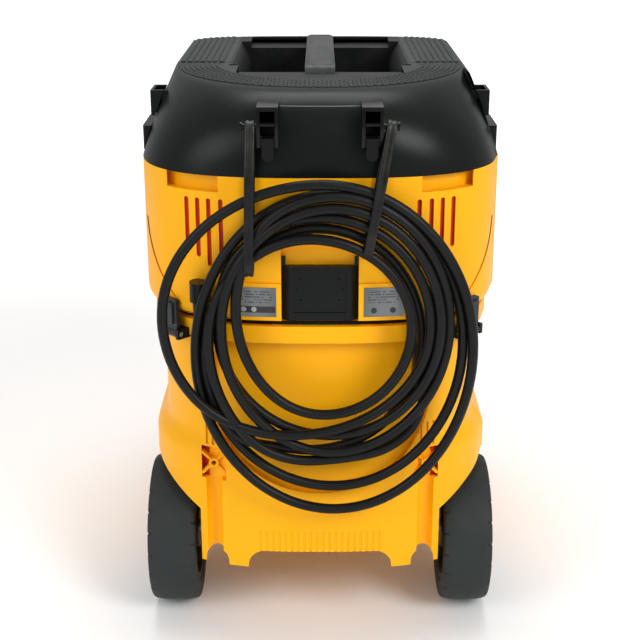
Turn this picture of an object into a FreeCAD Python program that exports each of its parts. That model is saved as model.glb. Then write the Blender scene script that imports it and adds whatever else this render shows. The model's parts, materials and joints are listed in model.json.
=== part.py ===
import FreeCAD, Part
import math
import os

# Wheeled wet and dry shop vacuum, millimetres, +Z up.
# The rear, where the power cord is stored, faces -Y; the hose inlet faces +Y.
# The origin is on the floor under the middle of the machine.

V = FreeCAD.Vector

# ---- driving dimensions -------------------------------------------------
rear_y = -268.0             # rear wall of the motor housing, on the centre line
wall = 3.5                  # moulded wall of tank and housing
hood_wall = 3.2             # moulded wall of the black hood
plan_power = 2.9            # superellipse power of the body's plan corners
seat_gap = 0.3              # gap round pieces that seat in an opening
run_gap = 0.05              # radial clearance of a running fit

# motor housing
housing_half = 183.5
housing_low = 361.0
housing_high = 509.0
housing_front = 262.0
housing_rear_depth = 150.0
housing_front_depth = 110.0
housing_round = 14.0        # rounding of the lower edge
seat_ledge = 26.0           # width of the inner ledge that carries the deck
ledge_thick = 4.0

# tank
gasket_thick = 3.0
gasket_set = 7.0            # gasket's outer edge inside the collar's
collar_half = 176.0
collar_set = 3.0            # collar behind the housing's rear wall
collar_low = 339.0
collar_front = 256.5
collar_slope = 1.5
flare_steps = 4
collar_wall = 14.0
wall_half = 168.0
wall_set = 8.0              # tank wall behind the housing's rear wall
skirt_half = 181.0
flare_low = 207.0
flare_high = 234.0
tank_floor = 103.0
tank_foot = 83.0
tank_front = 252.0
tank_rear_depth = 146.0
tank_front_depth = 100.0
foot_inner = 76.0
foot_arch = 18.0            # rounding from the feet up to the raised middle
foot_outer = 97.0
notch_radius = 12.5
notch_end = -60.0
notch_under = 2.5
bowl_radius = 114.0
bowl_z = 286.0
bowl_depth = 8.0
flute_count = 20
flute_half = 66.0           # half the width of the fluted band
flute_radius = 1.5
flute_top = 127.0

# sockets for the tubes of an optional push handle
socket_x = 111.0
socket_width = 26.0
socket_low = 182.0
socket_high = 218.0
socket_depth = 7.0
socket_boss = 5.2
socket_hole = 2.7
socket_tube = 9.0
slot_pitch = 6.5
slot_high = 246.0

# rear wheels and axle
wheel_radius = 82.5
wheel_inner = 134.0
wheel_width = 52.0
wheel_crown = 3.0
rim_radius = 60.0
axle_radius = 8.0
axle_set = 105.0            # axle in front of the rear wall
axle_clearance = 0.1
well_radius = 98.0
well_inner = 127.0
cap_radius = 24.0
cap_thick = 3.0

# casters
caster_x = 124.0
caster_y = 178.0
caster_radius = 31.0
caster_width = 22.0
caster_trail = 19.0
caster_plate = 6.0
caster_plate_radius = 27.0
stem_radius = 6.0
fork_cheek = 4.0
fork_gap = 1.0
caster_pin = 4.0

# latches
latch_width = 24.0
latch_thick = 4.5
latch_rise = 36.0
latch_pin = 2.5
latch_gap = 0.8
latch_low = 343.0

# hose inlet
inlet_z = 232.0
inlet_bore = 25.0
inlet_wall = 4.0
inlet_mouth = 297.6
inlet_flange = 96.0
inlet_flange_thick = 5.0
inlet_screw_pitch = 76.0
inlet_seal_thick = 2.0
screw_head = 4.2
screw_shank = 2.1

# hood: values at the seam with the housing and at the top rim
hood_high = 587.0
hood_half = 183.2
rim_half = 155.0
rim_set = 47.0              # rim behind the rear wall at the seam
rim_front = 182.0
shoulder_power = 2.5
front_power = 1.7
rim_power = 2.12
rim_full = 215.0            # where the rim reaches its full width, from the rear wall
hood_front_round = 60.0
hood_split = 217.0          # gap between the two hood shells, from the rear wall
hood_gap = 1.6
jog_outer = 98.0
jog_set = 200.0

# top pocket and carrying handle
tray_half = 87.0
tray_flare = 98.0
tray_wall = 3.0
tray_depth = 42.0           # depths and drops here are measured down from the rim
tray_rear = 97.0
tray_step = 2.6
tray_tread = 29.0
tray_front = 440.0
tray_front_drop = 7.0
tray_flare_drop = 19.0
tray_ledge = 392.0
handle_half = 16.0
handle_thick = 13.0
handle_root = 170.0
handle_crown = 4.5          # how much the handle's top drops from its middle to its edges

# control panel on the sloping front
panel_half = 96.0
panel_height = 58.0
panel_thick = 5.0
panel_low_y = 255.0
panel_low_z = 527.0
panel_tilt = 46.0           # degrees back from upright
knob_x = 62.0
knob_radius = 21.0
knob_height = 15.0
knob_shaft = 4.0
knob_gap = 0.6
flap_half = 25.0
flap_thick = 3.5
flap_pin = 2.0
socket_well = 19.0

# back of the housing
back_channel_half = 38.0
back_channel_depth = 12.0
back_channel_top = 450.0
pad_outer = 86.0
pad_proud = 2.0
pad_low = 366.0
pad_high = 404.0
label_inner = 43.0
label_outer = 83.0
label_low = 370.0
label_high = 400.0
label_thick = 0.6
bracket_top = 420.0
bracket_proud = 3.0
vent_width = 4.4
vent_top = 486.4
vent_rows = ((130.0, 435.5), (119.0, 426.5), (108.0, 418.0), (96.0, 410.0))
grip_inner = 98.0
grip_outer = 150.0
grip_low = 493.0
grip_depth = 9.0
line_depth = 1.6
line_width = 2.0

# cord storage
hook_x = 49.0
hook_half = 10.0
hook_reach = 14.0
hook_drop = 8.0             # hook's top below the rim
hook_cheek = 3.0
hook_height = 39.0
hook_bar_drop = 17.0        # bar, strap and tongue below the hook's top
peg_length = 15.5
peg_button = 4.2
strap_width = 9.0
strap_thick = 3.2
strap_gap = 0.4
strap_drop = 16.0
tongue_drop = 46.0
tongue_half = 5.6
strap_bend = 8.0            # height of the strap's bottom turn
straps = ((-1, 65.0, 420.5, -1.3), (1, 67.2, 436.0, 10.0))      # side, x at the peg, lowest z, tilt
peg_y = -9.0                # peg for the strap, from the rear wall
peg_radius = 2.5
side_y = 150.0              # middle of the side loops and clips, from the rear wall
loop_length = 37.0
loop_outer = 175.0
loop_drop = 16.0            # loop's top below the rim
loop_height = 26.0
clip_length = 65.0
clip_outer = 182.5
clip_high = 537.0
plate_thick = 2.5
coil_back = 4.5             # coil's back face behind the rear wall
coil_thick = 21.5
coil_half = 157.0
coil_low = 161.0
coil_high = 512.0
coil_hole = 87.0
coil_hole_z = 366.0
cord_radius = 5.0
gland_x = -118.0
gland_y = 7.5               # gland's middle, from the rear wall
gland_high = 404.0
gland_boss = 20.0
gland_boss_radius = 10.5
gland_radius = 8.0
gland_tip = 6.2
gland_length = 34.0
plug_x = 105.0
plug_y = 0.2
plug_width = 26.0
plug_thick = 22.5
plug_low = 300.0
plug_high = 342.0
plug_neck = 15.0
blade_length = 17.0

# free cord: x, y from the rear wall, z
lead_route = (
    (gland_x, gland_y, gland_high - gland_boss - gland_length), (-118.6, 6.8, 326.0),
    (-114.0, 1.5, 300.0), (-104.0, -6.0, 274.0), (-90.0, -13.0, 252.0),
)
tail_route = (
    (50.0, -14.0, 227.0), (72.0, -10.0, 234.5), (89.5, -5.5, 247.5), (100.5, -2.0, 265.0),
    (plug_x, plug_y, plug_low - plug_neck),
)

# inside the head
deck_thick = 6.0
filter_x = 82.0
filter_y = -60.0
filter_radius = 60.0
filter_drop = 115.0
filter_wall = 12.0
filter_neck = 30.0
motor_y = 20.0
fan_radius = 78.0
fan_height = 34.0
fan_wall = 3.0
motor_radius = 52.0
motor_height = 64.0
shaft_radius = 5.0
impeller_radius = 66.0
float_y = 120.0
float_radius = 20.0
cage_gap = 6.0
cage_wall = 3.0
valve_radius = 33.0
valve_thick = 3.0
valve_stem = 4.0
guide_length = 82.0
guide_width = 10.0
guide_height = 34.0
guide_thick = 6.0
float_cage_drop = 62.0
intake_radius = 16.0
board_half = 55.0
board_y = 196.0
board_low = 420.0
board_height = 60.0

# ---- derived values -----------------------------------------------------
tank_top = housing_low - gasket_thick
axle_y = rear_y + axle_set
axle_z = wheel_radius
wheel_outer = wheel_inner + wheel_width
deck_low = housing_low + ledge_thick
deck_high = deck_low + deck_thick
coil_front_y = rear_y - coil_back - coil_thick
coil_back_y = rear_y - coil_back
panel_middle = panel_height / 2 - 1.0
flap_hinge = panel_middle + flap_half + 2.0
flap_axis = knob_gap + 3.4
handle_seat = hood_high - 3 * tray_step - 0.4
tray_floor = hood_high - tray_depth
tray_flare_low = hood_high - tray_flare_drop
tray_front_top = hood_high - tray_front_drop
hook_top = hood_high - hook_drop
hook_low = hook_top - hook_height
strap_top = hook_top - strap_drop
loop_high = hood_high - loop_drop

nodes = {}


# ---- helpers ------------------------------------------------------------
def box(x0, x1, y0, y1, z0, z1):
    return Part.makeBox(x1 - x0, y1 - y0, z1 - z0, V(x0, y0, z0))


def rod(start, direction, radius, length):
    return Part.makeCylinder(radius, length, V(*start), V(*direction))


def fuse(shapes):
    return shapes[0].multiFuse(shapes[1:]).removeSplitter()


def mirror(shape):
    return shape.mirror(V(0, 0, 0), V(1, 0, 0))


def both(shape):
    return Part.makeCompound([shape, mirror(shape)])


def polygon(points, normal_length):
    wire = Part.makePolygon([V(*p) for p in points] + [V(*points[0])])
    return Part.Face(wire).extrude(V(*normal_length))


def half_plan(half, depth, power):
    # Superellipse |x/half|^power + |y/depth|^power = 1, from +x round to -x.
    steps = 16
    points = []
    for i in range(steps + 1):
        turn = math.pi * i / steps
        c = math.cos(turn)
        s = max(math.sin(turn), 0.0)
        x = math.copysign(abs(c) ** (2.0 / power), c)
        points.append((half * x, depth * s ** (2.0 / power)))
    points[0] = (half, 0.0)
    points[-1] = (-half, 0.0)
    return points


def chord_knots():
    points = half_plan(housing_half, housing_rear_depth, plan_power)
    knots = [0.0]
    for a, b in zip(points, points[1:]):
        knots.append(knots[-1] + math.hypot(b[0] - a[0], b[1] - a[1]))
    return knots


plan_knots = chord_knots()


def plan(z, half, rear, front, rear_depth, front_depth, rear_power=plan_power, front_power=plan_power):
    front_curve = Part.BSplineCurve()
    points = [V(x, front - front_depth + y, z) for x, y in half_plan(half, front_depth, front_power)]
    front_curve.interpolate(
        Points=points, Parameters=plan_knots, InitialTangent=V(0, 1, 0), FinalTangent=V(0, -1, 0)
    )
    rear_curve = Part.BSplineCurve()
    points = [V(-x, rear + rear_depth - y, z) for x, y in half_plan(half, rear_depth, rear_power)]
    rear_curve.interpolate(
        Points=points, Parameters=plan_knots, InitialTangent=V(0, -1, 0), FinalTangent=V(0, 1, 0)
    )
    left = Part.LineSegment(V(-half, front - front_depth, z), V(-half, rear + rear_depth, z))
    right = Part.LineSegment(V(half, rear + rear_depth, z), V(half, front - front_depth, z))
    return Part.Wire([front_curve.toShape(), left.toShape(), rear_curve.toShape(), right.toShape()])


def housing_plan(inset, z):
    return plan(
        z, housing_half - inset, rear_y + inset, housing_front - inset,
        housing_rear_depth - inset, housing_front_depth - inset,
    )


def housing_prism(inset, low, high):
    return Part.Face(housing_plan(inset, low)).extrude(V(0, 0, high - low))


def tank_plan(z, half, rear_set, inset, front=tank_front):
    return plan(
        z, half - inset, rear_y + rear_set + inset, front - inset,
        tank_rear_depth - inset, tank_front_depth - inset,
    )


def flare_half(z):
    share = (z - flare_low) / (flare_high - flare_low)
    return wall_half + (skirt_half - wall_half) * (1.0 + math.cos(math.pi * share)) / 2.0


def tank_wires(inset, low, high):
    wires = [tank_plan(low, skirt_half, wall_set, inset)]
    for i in range(flare_steps + 1):
        z = flare_low + (flare_high - flare_low) * i / flare_steps
        wires.append(tank_plan(z, flare_half(z), wall_set, inset))
    return wires + [tank_plan(high, wall_half, wall_set, inset)]


def tank_form(inset, low, high):
    return Part.makeLoft(tank_wires(inset, low, high), True, True)


def collared_form(inset, collar_inset, low):
    wires = tank_wires(inset, low, collar_low)
    for z in (collar_low + collar_slope, tank_top):
        wires.append(tank_plan(z, collar_half, collar_set, collar_inset, collar_front))
    return Part.makeLoft(wires, True, True)


def collar_prism(inset, low, high):
    wire = tank_plan(low, collar_half, collar_set, inset, collar_front)
    return Part.Face(wire).extrude(V(0, 0, high - low))


def rear_surface(x, half, rear, depth, power=plan_power):
    return rear + depth * (1.0 - (1.0 - abs(x / half) ** power) ** (1.0 / power))


def corner_point(half, rear, depth):
    # Where the plan's outward normal points at 45 degrees.
    ratio = (half / depth) ** (1.0 / (plan_power - 1.0))
    share = (1.0 + ratio ** plan_power) ** (-1.0 / plan_power)
    return half * ratio * share, rear + depth * (1.0 - share)


# ---- tank ---------------------------------------------------------------
def make_tank():
    body = collared_form(0.0, 0.0, tank_foot)
    depth = tank_front - rear_y + 20.0
    cuts = [box(-foot_inner, foot_inner, rear_y - 10.0, rear_y - 10.0 + depth, tank_foot - 1,
                tank_floor - foot_arch),
            box(-foot_inner + foot_arch, foot_inner - foot_arch, rear_y - 10.0, rear_y - 10.0 + depth,
                tank_foot - 1, tank_floor)]
    for side in (-1, 1):
        cuts.append(rod((side * (foot_inner - foot_arch), rear_y - 10.0, tank_floor - foot_arch), (0, 1, 0),
                        foot_arch, depth))
    notch_x = foot_outer + notch_radius
    notch_z = tank_floor - notch_under - notch_radius
    for side in (-1, 1):
        cuts.append(rod((side * notch_x, rear_y, notch_z), (0, 1, 0), notch_radius, notch_end - rear_y))
        cuts.append(box(side * notch_x - notch_radius, side * notch_x + notch_radius,
                        rear_y, notch_end, tank_foot - 1, notch_z))
        cuts.append(rod((side * well_inner, axle_y, axle_z), (side, 0, 0), well_radius, 80.0))
    cuts.append(rod((-well_inner - 5, axle_y, axle_z), (1, 0, 0), axle_radius + axle_clearance,
                    2 * well_inner + 10))
    void = collared_form(wall, collar_wall, tank_foot + wall)
    channel = foot_inner + wall
    keep_walls = [
        box(-channel, channel, rear_y, tank_front, tank_foot, tank_floor + wall),
        box(-200, 200, rear_y, notch_end + wall, tank_foot, tank_floor + wall),
    ]
    bowl = rod((0, rear_y - 5, bowl_z), (0, 1, 0), bowl_radius, 60.0)
    bowl = bowl.cut(box(-200, 200, rear_y - 10, rear_y + 70, collar_low, collar_low + 80))
    cuts.append(bowl.cut(tank_form(bowl_depth, tank_foot - 2, tank_top)))
    grown = rod((0, rear_y - 5, bowl_z), (0, 1, 0), bowl_radius + wall, 60.0)
    keep_walls.append(grown.cut(tank_form(bowl_depth + wall, tank_foot - 2, tank_top + 2)))
    extras = []
    holes = [rod((0, tank_front - 30, inlet_z), (0, 1, 0), inlet_bore + inlet_wall + seat_gap, 60)]
    for x, z in screw_corners():
        holes.append(rod((x, tank_front - 30, z), (0, 1, 0), screw_shank + run_gap, 60))
    for side in (-1, 1):
        keep_walls.append(
            rod((side * (well_inner - wall), axle_y, axle_z), (side, 0, 0), well_radius + wall, 80.0)
        )
        surface = rear_surface(socket_x, skirt_half, rear_y + wall_set, tank_rear_depth)
        x0 = side * socket_x - socket_width / 2
        x1 = side * socket_x + socket_width / 2
        pocket = box(x0, x1, rear_y, surface + 40, socket_low, socket_high)
        cuts.append(pocket.cut(tank_form(socket_depth, tank_foot - 2, tank_top)))
        grown = box(x0 - wall, x1 + wall, rear_y, surface + 60, tank_foot, socket_high + wall)
        keep_walls.append(grown.cut(tank_form(socket_depth + wall + 3.0, tank_foot - 2, tank_top + 2)))
        cuts.append(rod((side * socket_x, surface + 1.0, tank_foot - 1), (0, 0, 1), socket_tube,
                        socket_low - tank_foot + 1))
        for k in (-1, 0, 1):
            x = side * socket_x + k * slot_pitch
            slot = box(x - 1.5, x + 1.5, rear_y, surface + 30, socket_high + 2.6, slot_high)
            cuts.append(slot.cut(tank_form(2.0, tank_foot - 2, tank_top)))
        z = (socket_low + socket_high) / 2
        ring = rod((side * socket_x, surface + 1.0, z), (0, 1, 0), socket_boss, socket_depth + 3)
        ribs = [ring]
        for turn in (-45, 45):
            rib = box(-17.0, 17.0, surface + 2.5, surface + socket_depth + 4, -1.2, 1.2)
            rib.rotate(V(0, 0, 0), V(0, 1, 0), turn)
            rib.translate(V(side * socket_x, 0, z))
            ribs.append(rib)
        window = box(x0 - 0.5, x1 + 0.5, rear_y, surface + 30, socket_low - 0.5, socket_high + 0.5)
        cross = fuse(ribs).common(window)
        hole = rod((side * socket_x, surface - 5, z), (0, 1, 0), socket_hole, 20.0)
        extras.append(cross)
        holes.append(hole)
    span = 2 * flute_half / flute_count
    flutes = []
    for i in range(flute_count):
        x = -flute_half + span * (i + 0.5)
        y = rear_surface(x, skirt_half, rear_y + wall_set, tank_rear_depth)
        flutes.append(rod((x, y - flute_radius * 0.35, tank_floor - 1), (0, 0, 1), flute_radius,
                          flute_top - tank_floor + 1))
    cuts.append(Part.makeCompound(flutes))
    body = body.cut(cuts)
    for shape in keep_walls:
        void = void.cut(shape)
    body = body.cut(void)
    return body.fuse(extras).cut(holes)


def make_inlet():
    flange = box(-inlet_flange / 2, inlet_flange / 2, tank_front + inlet_seal_thick,
                 tank_front + inlet_seal_thick + inlet_flange_thick,
                 inlet_z - inlet_flange / 2, inlet_z + inlet_flange / 2)
    flange = round_edges(flange, V(0, 1, 0), 14.0)
    outer = inlet_bore + inlet_wall
    face = tank_front + inlet_seal_thick
    pipe = rod((0, face - 24, inlet_z), (0, 1, 0), outer, inlet_mouth - face + 24)
    lip = rod((0, inlet_mouth - 10, inlet_z), (0, 1, 0), outer + 3.0, 10)
    holes = [rod((0, face - 40, inlet_z), (0, 1, 0), inlet_bore, 120)]
    screws = []
    for x, z in screw_corners():
        holes.append(rod((x, face - 5, z), (0, 1, 0), screw_shank + run_gap, 20))
        head_y = face + inlet_flange_thick
        shank = rod((x, tank_front - 6, z), (0, 1, 0), screw_shank, head_y - tank_front + 6)
        screws.append(fuse([shank, rod((x, head_y, z), (0, 1, 0), screw_head, 2.4)]))
    port = fuse([flange, pipe, lip]).cut(holes)
    seal = box(-inlet_flange / 2, inlet_flange / 2, tank_front, face,
               inlet_z - inlet_flange / 2, inlet_z + inlet_flange / 2)
    seal = round_edges(seal, V(0, 1, 0), 14.0)
    seal = seal.cut([rod((0, face - 40, inlet_z), (0, 1, 0), outer + seat_gap, 120)] + holes[1:])
    return port, seal, Part.makeCompound(screws)


def screw_corners():
    reach = inlet_screw_pitch / 2
    return [(x, inlet_z + z) for x in (-reach, reach) for z in (-reach, reach)]


def round_edges(shape, direction, radius):
    chosen = []
    for edge in shape.Edges:
        if edge.Curve.TypeId == "Part::GeomLine" and abs(edge.tangentAt(0).dot(direction)) > 0.999:
            chosen.append(edge)
    return shape.makeFillet(radius, chosen)


def make_deflector():
    top = inlet_bore + inlet_wall + 10.0
    y0 = tank_front - wall - 62.0
    hood = rod((0, y0, inlet_z), (0, 1, 0), top, 62.0)
    hood = hood.cut([
        rod((0, y0 + wall, inlet_z), (0, 1, 0), top - wall, 70.0),
        box(-60, 60, y0 - 1, tank_front, inlet_z - 80, inlet_z - 8),
    ])
    hood = hood.cut(rod((0, tank_front - 25, inlet_z), (0, 1, 0), inlet_bore + inlet_wall + 2.0, 30))
    return hood.cut(hood_clear())


def hood_clear():
    slab = box(-120, 120, tank_front - 60, tank_front + 20, inlet_z - 100, inlet_z + 100)
    return slab.cut(tank_form(wall, tank_foot, collar_low))


# ---- rear wheels --------------------------------------------------------
def make_wheel(side):
    start = wheel_inner
    half = wheel_width / 2
    middle = start + half
    side_radius = wheel_radius - wheel_crown
    rim_outer = rim_radius
    tyre = Part.Wire([
        Part.LineSegment(V(start, rim_outer, 0), V(start, side_radius - 3, 0)).toShape(),
        Part.Arc(V(start, side_radius - 3, 0), V(start + 1.2, side_radius - 0.6, 0),
                 V(start + 4, side_radius + 0.9, 0)).toShape(),
        Part.Arc(V(start + 4, side_radius + 0.9, 0), V(middle, wheel_radius, 0),
                 V(wheel_outer - 4, side_radius + 0.9, 0)).toShape(),
        Part.Arc(V(wheel_outer - 4, side_radius + 0.9, 0), V(wheel_outer - 1.2, side_radius - 0.6, 0),
                 V(wheel_outer, side_radius - 3, 0)).toShape(),
        Part.LineSegment(V(wheel_outer, side_radius - 3, 0), V(wheel_outer, rim_outer, 0)).toShape(),
        Part.LineSegment(V(wheel_outer, rim_outer, 0), V(start, rim_outer, 0)).toShape(),
    ])
    tyre = Part.Face(tyre).revolve(V(0, 0, 0), V(1, 0, 0), 360)
    web = middle - 4
    rim_points = [
        (start + 2, rim_outer), (start + 2, rim_outer - 6), (web, rim_outer - 8), (web, 26),
        (start + 2, 24), (start + 2, axle_radius + run_gap), (wheel_outer - 6, axle_radius + run_gap),
        (wheel_outer - 6, cap_radius), (web + 8, cap_radius + 4), (web + 8, rim_outer - 8),
        (wheel_outer - 3, rim_outer - 6), (wheel_outer - 3, rim_outer),
    ]
    wire = Part.makePolygon([V(a, b, 0) for a, b in rim_points + rim_points[:1]])
    rim = Part.Face(wire).revolve(V(0, 0, 0), V(1, 0, 0), 360)
    windows = []
    for i in range(8):
        hole = rod((start, 0, 41), (1, 0, 0), 7.5, wheel_width)
        hole.rotate(V(0, 0, 0), V(1, 0, 0), 45.0 * i)
        windows.append(hole)
    rim = rim.cut(windows)
    cap = rod((wheel_outer - 6, 0, 0), (1, 0, 0), cap_radius, cap_thick + 3)
    cap = cap.cut(rod((wheel_outer - 7, 0, 0), (1, 0, 0), axle_radius + 1.0, 5.0))
    pieces = []
    for shape in (tyre, rim, cap):
        shape.translate(V(0, axle_y, axle_z))
        pieces.append(shape if side > 0 else mirror(shape))
    return pieces


def make_axle():
    reach = wheel_outer - 4
    axle = rod((-reach, axle_y, axle_z), (1, 0, 0), axle_radius, 2 * reach)
    clips = []
    for side in (-1, 1):
        x0 = side * (foot_inner + foot_outer) / 2 - 7
        clip = box(x0, x0 + 14, axle_y - 24, axle_y + 24, tank_foot - 4, tank_foot)
        saddle = rod((x0, axle_y, axle_z), (1, 0, 0), axle_radius + 3.5, 14)
        saddle = saddle.common(box(-200, 200, axle_y - 30, axle_y + 30, 0, tank_foot))
        clip = fuse([clip, saddle]).cut(rod((x0 - 1, axle_y, axle_z), (1, 0, 0),
                                            axle_radius + axle_clearance, 16))
        for y in (-18, 18):
            head = rod((x0 + 7, axle_y + y, tank_foot - 6.5), (0, 0, 1), 4.0, 2.5)
            clip = clip.fuse(head)
        clips.append(clip)
    return axle, Part.makeCompound(clips)


# ---- casters ------------------------------------------------------------
def make_caster(side):
    x = side * caster_x
    bridge_high = tank_foot - caster_plate - fork_gap
    bridge_low = bridge_high - 8.0
    plate = rod((x, caster_y, tank_foot - caster_plate), (0, 0, 1), caster_plate_radius, caster_plate)
    stem = rod((x, caster_y, bridge_low - 1), (0, 0, 1), stem_radius, tank_foot - bridge_low + 1)
    button = rod((x, caster_y, bridge_low - 3.0), (0, 0, 1), stem_radius + 2.5, 2.4)
    mount = fuse([plate, stem, button])
    half = caster_width / 2 + fork_gap
    outer = half + fork_cheek
    wheel_y = caster_y - caster_trail
    bridge = rod((x, caster_y, bridge_low), (0, 0, 1), outer + 4.0, bridge_high - bridge_low)
    bridge = bridge.fuse(box(x - outer, x + outer, wheel_y - 4, caster_y, bridge_low, bridge_high))
    cheeks = []
    for edge in (-1, 1):
        x0 = x + edge * (half + fork_cheek / 2) - fork_cheek / 2
        cheek = polygon([
            (x0, caster_y + 12, bridge_high), (x0, wheel_y - 4, bridge_high),
            (x0, wheel_y - 9, caster_radius), (x0, wheel_y - 4, caster_radius - 9),
            (x0, wheel_y + 6, caster_radius - 8), (x0, wheel_y + 14, caster_radius + 6),
        ], (fork_cheek, 0, 0))
        cheeks.append(cheek)
    fork = fuse([bridge] + cheeks)
    clear = caster_radius + 2.0
    fork = fork.cut([
        rod((x, caster_y, bridge_low - 1), (0, 0, 1), stem_radius + run_gap, 20),
        rod((x - half, wheel_y, caster_radius), (1, 0, 0), clear, 2 * half),
        rod((x - outer - 1, wheel_y, caster_radius), (1, 0, 0), caster_pin, 2 * outer + 2),
    ])
    pin = rod((x - outer - 1.5, wheel_y, caster_radius), (1, 0, 0), caster_pin, 2 * outer + 3)
    wheel = rod((x - caster_width / 2, wheel_y, caster_radius), (1, 0, 0), caster_radius, caster_width)
    edges = [e for e in wheel.Edges if e.Curve.TypeId == "Part::GeomCircle"]
    wheel = wheel.makeFillet(4.0, edges)
    wheel = wheel.cut(rod((x - 20, wheel_y, caster_radius), (1, 0, 0), caster_pin + run_gap, 40))
    for edge in (-1, 1):
        disc = rod((x + edge * (caster_width / 2 - 3), wheel_y, caster_radius), (edge, 0, 0), 22.0, 4.0)
        hub = rod((x + edge * (caster_width / 2 - 4), wheel_y, caster_radius), (edge, 0, 0), 8.0, 6.0)
        wheel = wheel.cut(disc.cut(hub))
    return mount, fork, pin, wheel


# ---- motor housing ------------------------------------------------------
def back_band(inset, x0, x1, z0, z1):
    # Block of the rear wall between the housing's surface and a surface inset from it.
    block = box(x0, x1, rear_y - 20, rear_y + 130, z0, z1)
    return block.cut(housing_prism(inset, housing_low - 5, housing_high + 5))


def make_housing():
    wires = []
    steps = 6
    for i in range(steps + 1):
        turn = math.pi / 2 * i / steps
        wires.append(housing_plan(housing_round * (1 - math.sin(turn)),
                                  housing_low + housing_round * (1 - math.cos(turn))))
    wires.append(housing_plan(0.0, housing_high))
    body = Part.makeLoft(wires, True, True)
    pads = box(-pad_outer, pad_outer, rear_y - 20, rear_y + 60, pad_low, pad_high)
    pads = pads.common(housing_prism(-pad_proud, pad_low, pad_high))
    body = body.fuse(pads)
    void = fuse([
        housing_prism(seat_ledge, housing_low, deck_low),
        housing_prism(wall, deck_low, housing_high),
    ])
    half = back_channel_half
    cuts = [back_band(back_channel_depth, -half, half, housing_low - 2, back_channel_top)]
    grown = [back_band(back_channel_depth + wall, -half - wall, half + wall, housing_low - 5,
                       back_channel_top + wall)]
    for side in (-1, 1):
        low = min(side * grip_inner, side * grip_outer)
        high = max(side * grip_inner, side * grip_outer)
        cuts.append(back_band(grip_depth, low, high, grip_low, housing_high + 1))
        grown.append(back_band(grip_depth + wall, low - wall, high + wall, grip_low - wall,
                               housing_high + 1))
        for x, bottom in vent_rows:
            slot = box(side * x - vent_width / 2, side * x + vent_width / 2, rear_y - 20, rear_y + 60,
                       bottom + vent_width / 2, vent_top - vent_width / 2)
            ends = [rod((side * x, rear_y - 20, z), (0, 1, 0), vent_width / 2, 80)
                    for z in (bottom + vent_width / 2, vent_top - vent_width / 2)]
            cuts.append(fuse([slot] + ends))
        cuts.append(corner_line(side))
    for shape in grown:
        void = void.cut(shape)
    return body.cut(cuts).cut(void)


def corner_line(side):
    # Shallow line that sweeps down each rear corner.
    outer = Part.Wire([
        Part.Arc(V(177, 0, 452), V(166, 0, 408), V(140, 0, 374)).toShape(),
        Part.LineSegment(V(140, 0, 374), V(140 - line_width, 0, 374)).toShape(),
        Part.Arc(V(140 - line_width, 0, 374), V(166 - line_width, 0, 409),
                 V(177 - line_width, 0, 452)).toShape(),
        Part.LineSegment(V(177 - line_width, 0, 452), V(177, 0, 452)).toShape(),
    ])
    band = Part.Face(outer).extrude(V(0, 150, 0))
    band.translate(V(0, rear_y, 0))
    if side < 0:
        band = mirror(band)
    return band.cut(housing_prism(line_depth, housing_low - 5, housing_high + 5))


def make_labels():
    plates = []
    for side in (-1, 1):
        x0 = min(side * label_inner, side * label_outer)
        plate = box(x0, x0 + label_outer - label_inner, rear_y - 20, rear_y + 60, label_low, label_high)
        plate = plate.common(housing_prism(-pad_proud - label_thick, pad_low, pad_high))
        plates.append(plate.cut(housing_prism(-pad_proud, pad_low, pad_high)))
    return Part.makeCompound(plates)


def make_bracket():
    half = back_channel_half - seat_gap
    floor_y = rear_y + back_channel_depth
    face_y = floor_y - bracket_proud - 7.0
    low = housing_low + 4.0
    outline = [(-half, floor_y), (-half, face_y + 4), (-half + 7, face_y), (half - 7, face_y),
               (half, face_y + 4), (half, floor_y)]
    plate = polygon([(x, y, low) for x, y in outline], (0, 0, bracket_top - low))
    plate = plate.cut(box(-half + 12, half - 12, face_y - 1, face_y + 1.2, low + 8, bracket_top + 1))
    prongs = []
    for side in (-1, 1):
        x0 = side * (half - 2) - 2
        prongs.append(box(x0, x0 + 4, face_y + 4, floor_y, bracket_top, bracket_top + 9))
    dots = []
    for side in (-1, 1):
        for x, z in ((19.0, 408.0), (22.0, 397.0), (19.0, 386.0)):
            dots.append(rod((side * x, face_y, z), (0, 1, 0), 0.9, 3))
    return fuse([plate] + prongs).cut(dots).cut(wrap_channel())


def wrap_channel():
    # Everything behind the channel's floor, which follows the curved wall.
    return housing_prism(back_channel_depth, housing_low - 5, housing_high + 5)


# ---- hood ---------------------------------------------------------------
def hood_section(share, inset, z):
    setback = rim_set * (1.0 - math.sqrt(1.0 - share ** shoulder_power))
    half = hood_half + (rim_half - hood_half) * share ** 1.08
    full = housing_rear_depth + (rim_full - housing_rear_depth) * share ** 2
    front = housing_front + (rim_front - housing_front) * share ** front_power
    round_depth = housing_front_depth + (hood_front_round - housing_front_depth) * share ** 2
    power = plan_power + (rim_power - plan_power) * share ** 2
    return plan(z, half - inset, rear_y + setback + inset, front - inset,
                full - setback - inset, round_depth - inset, power)


def hood_form(inset):
    wires = []
    steps = 12
    for i in range(steps + 1):
        share = 1.0 - (1.0 - i / steps) ** 1.7
        z = housing_high + (hood_high - inset - housing_high) * share
        wires.append(hood_section(share, inset, z))
    return Part.makeLoft(wires, True, True)


def split_region(shift):
    y = rear_y
    points = [
        (-210, y + hood_split), (-jog_outer, y + hood_split), (-tray_half, y + jog_set),
        (tray_half, y + jog_set), (jog_outer, y + hood_split), (210, y + hood_split),
        (210, y - 60), (-210, y - 60),
    ]
    return polygon([(px, py + shift, 500.0) for px, py in points], (0, 0, 120))


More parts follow.
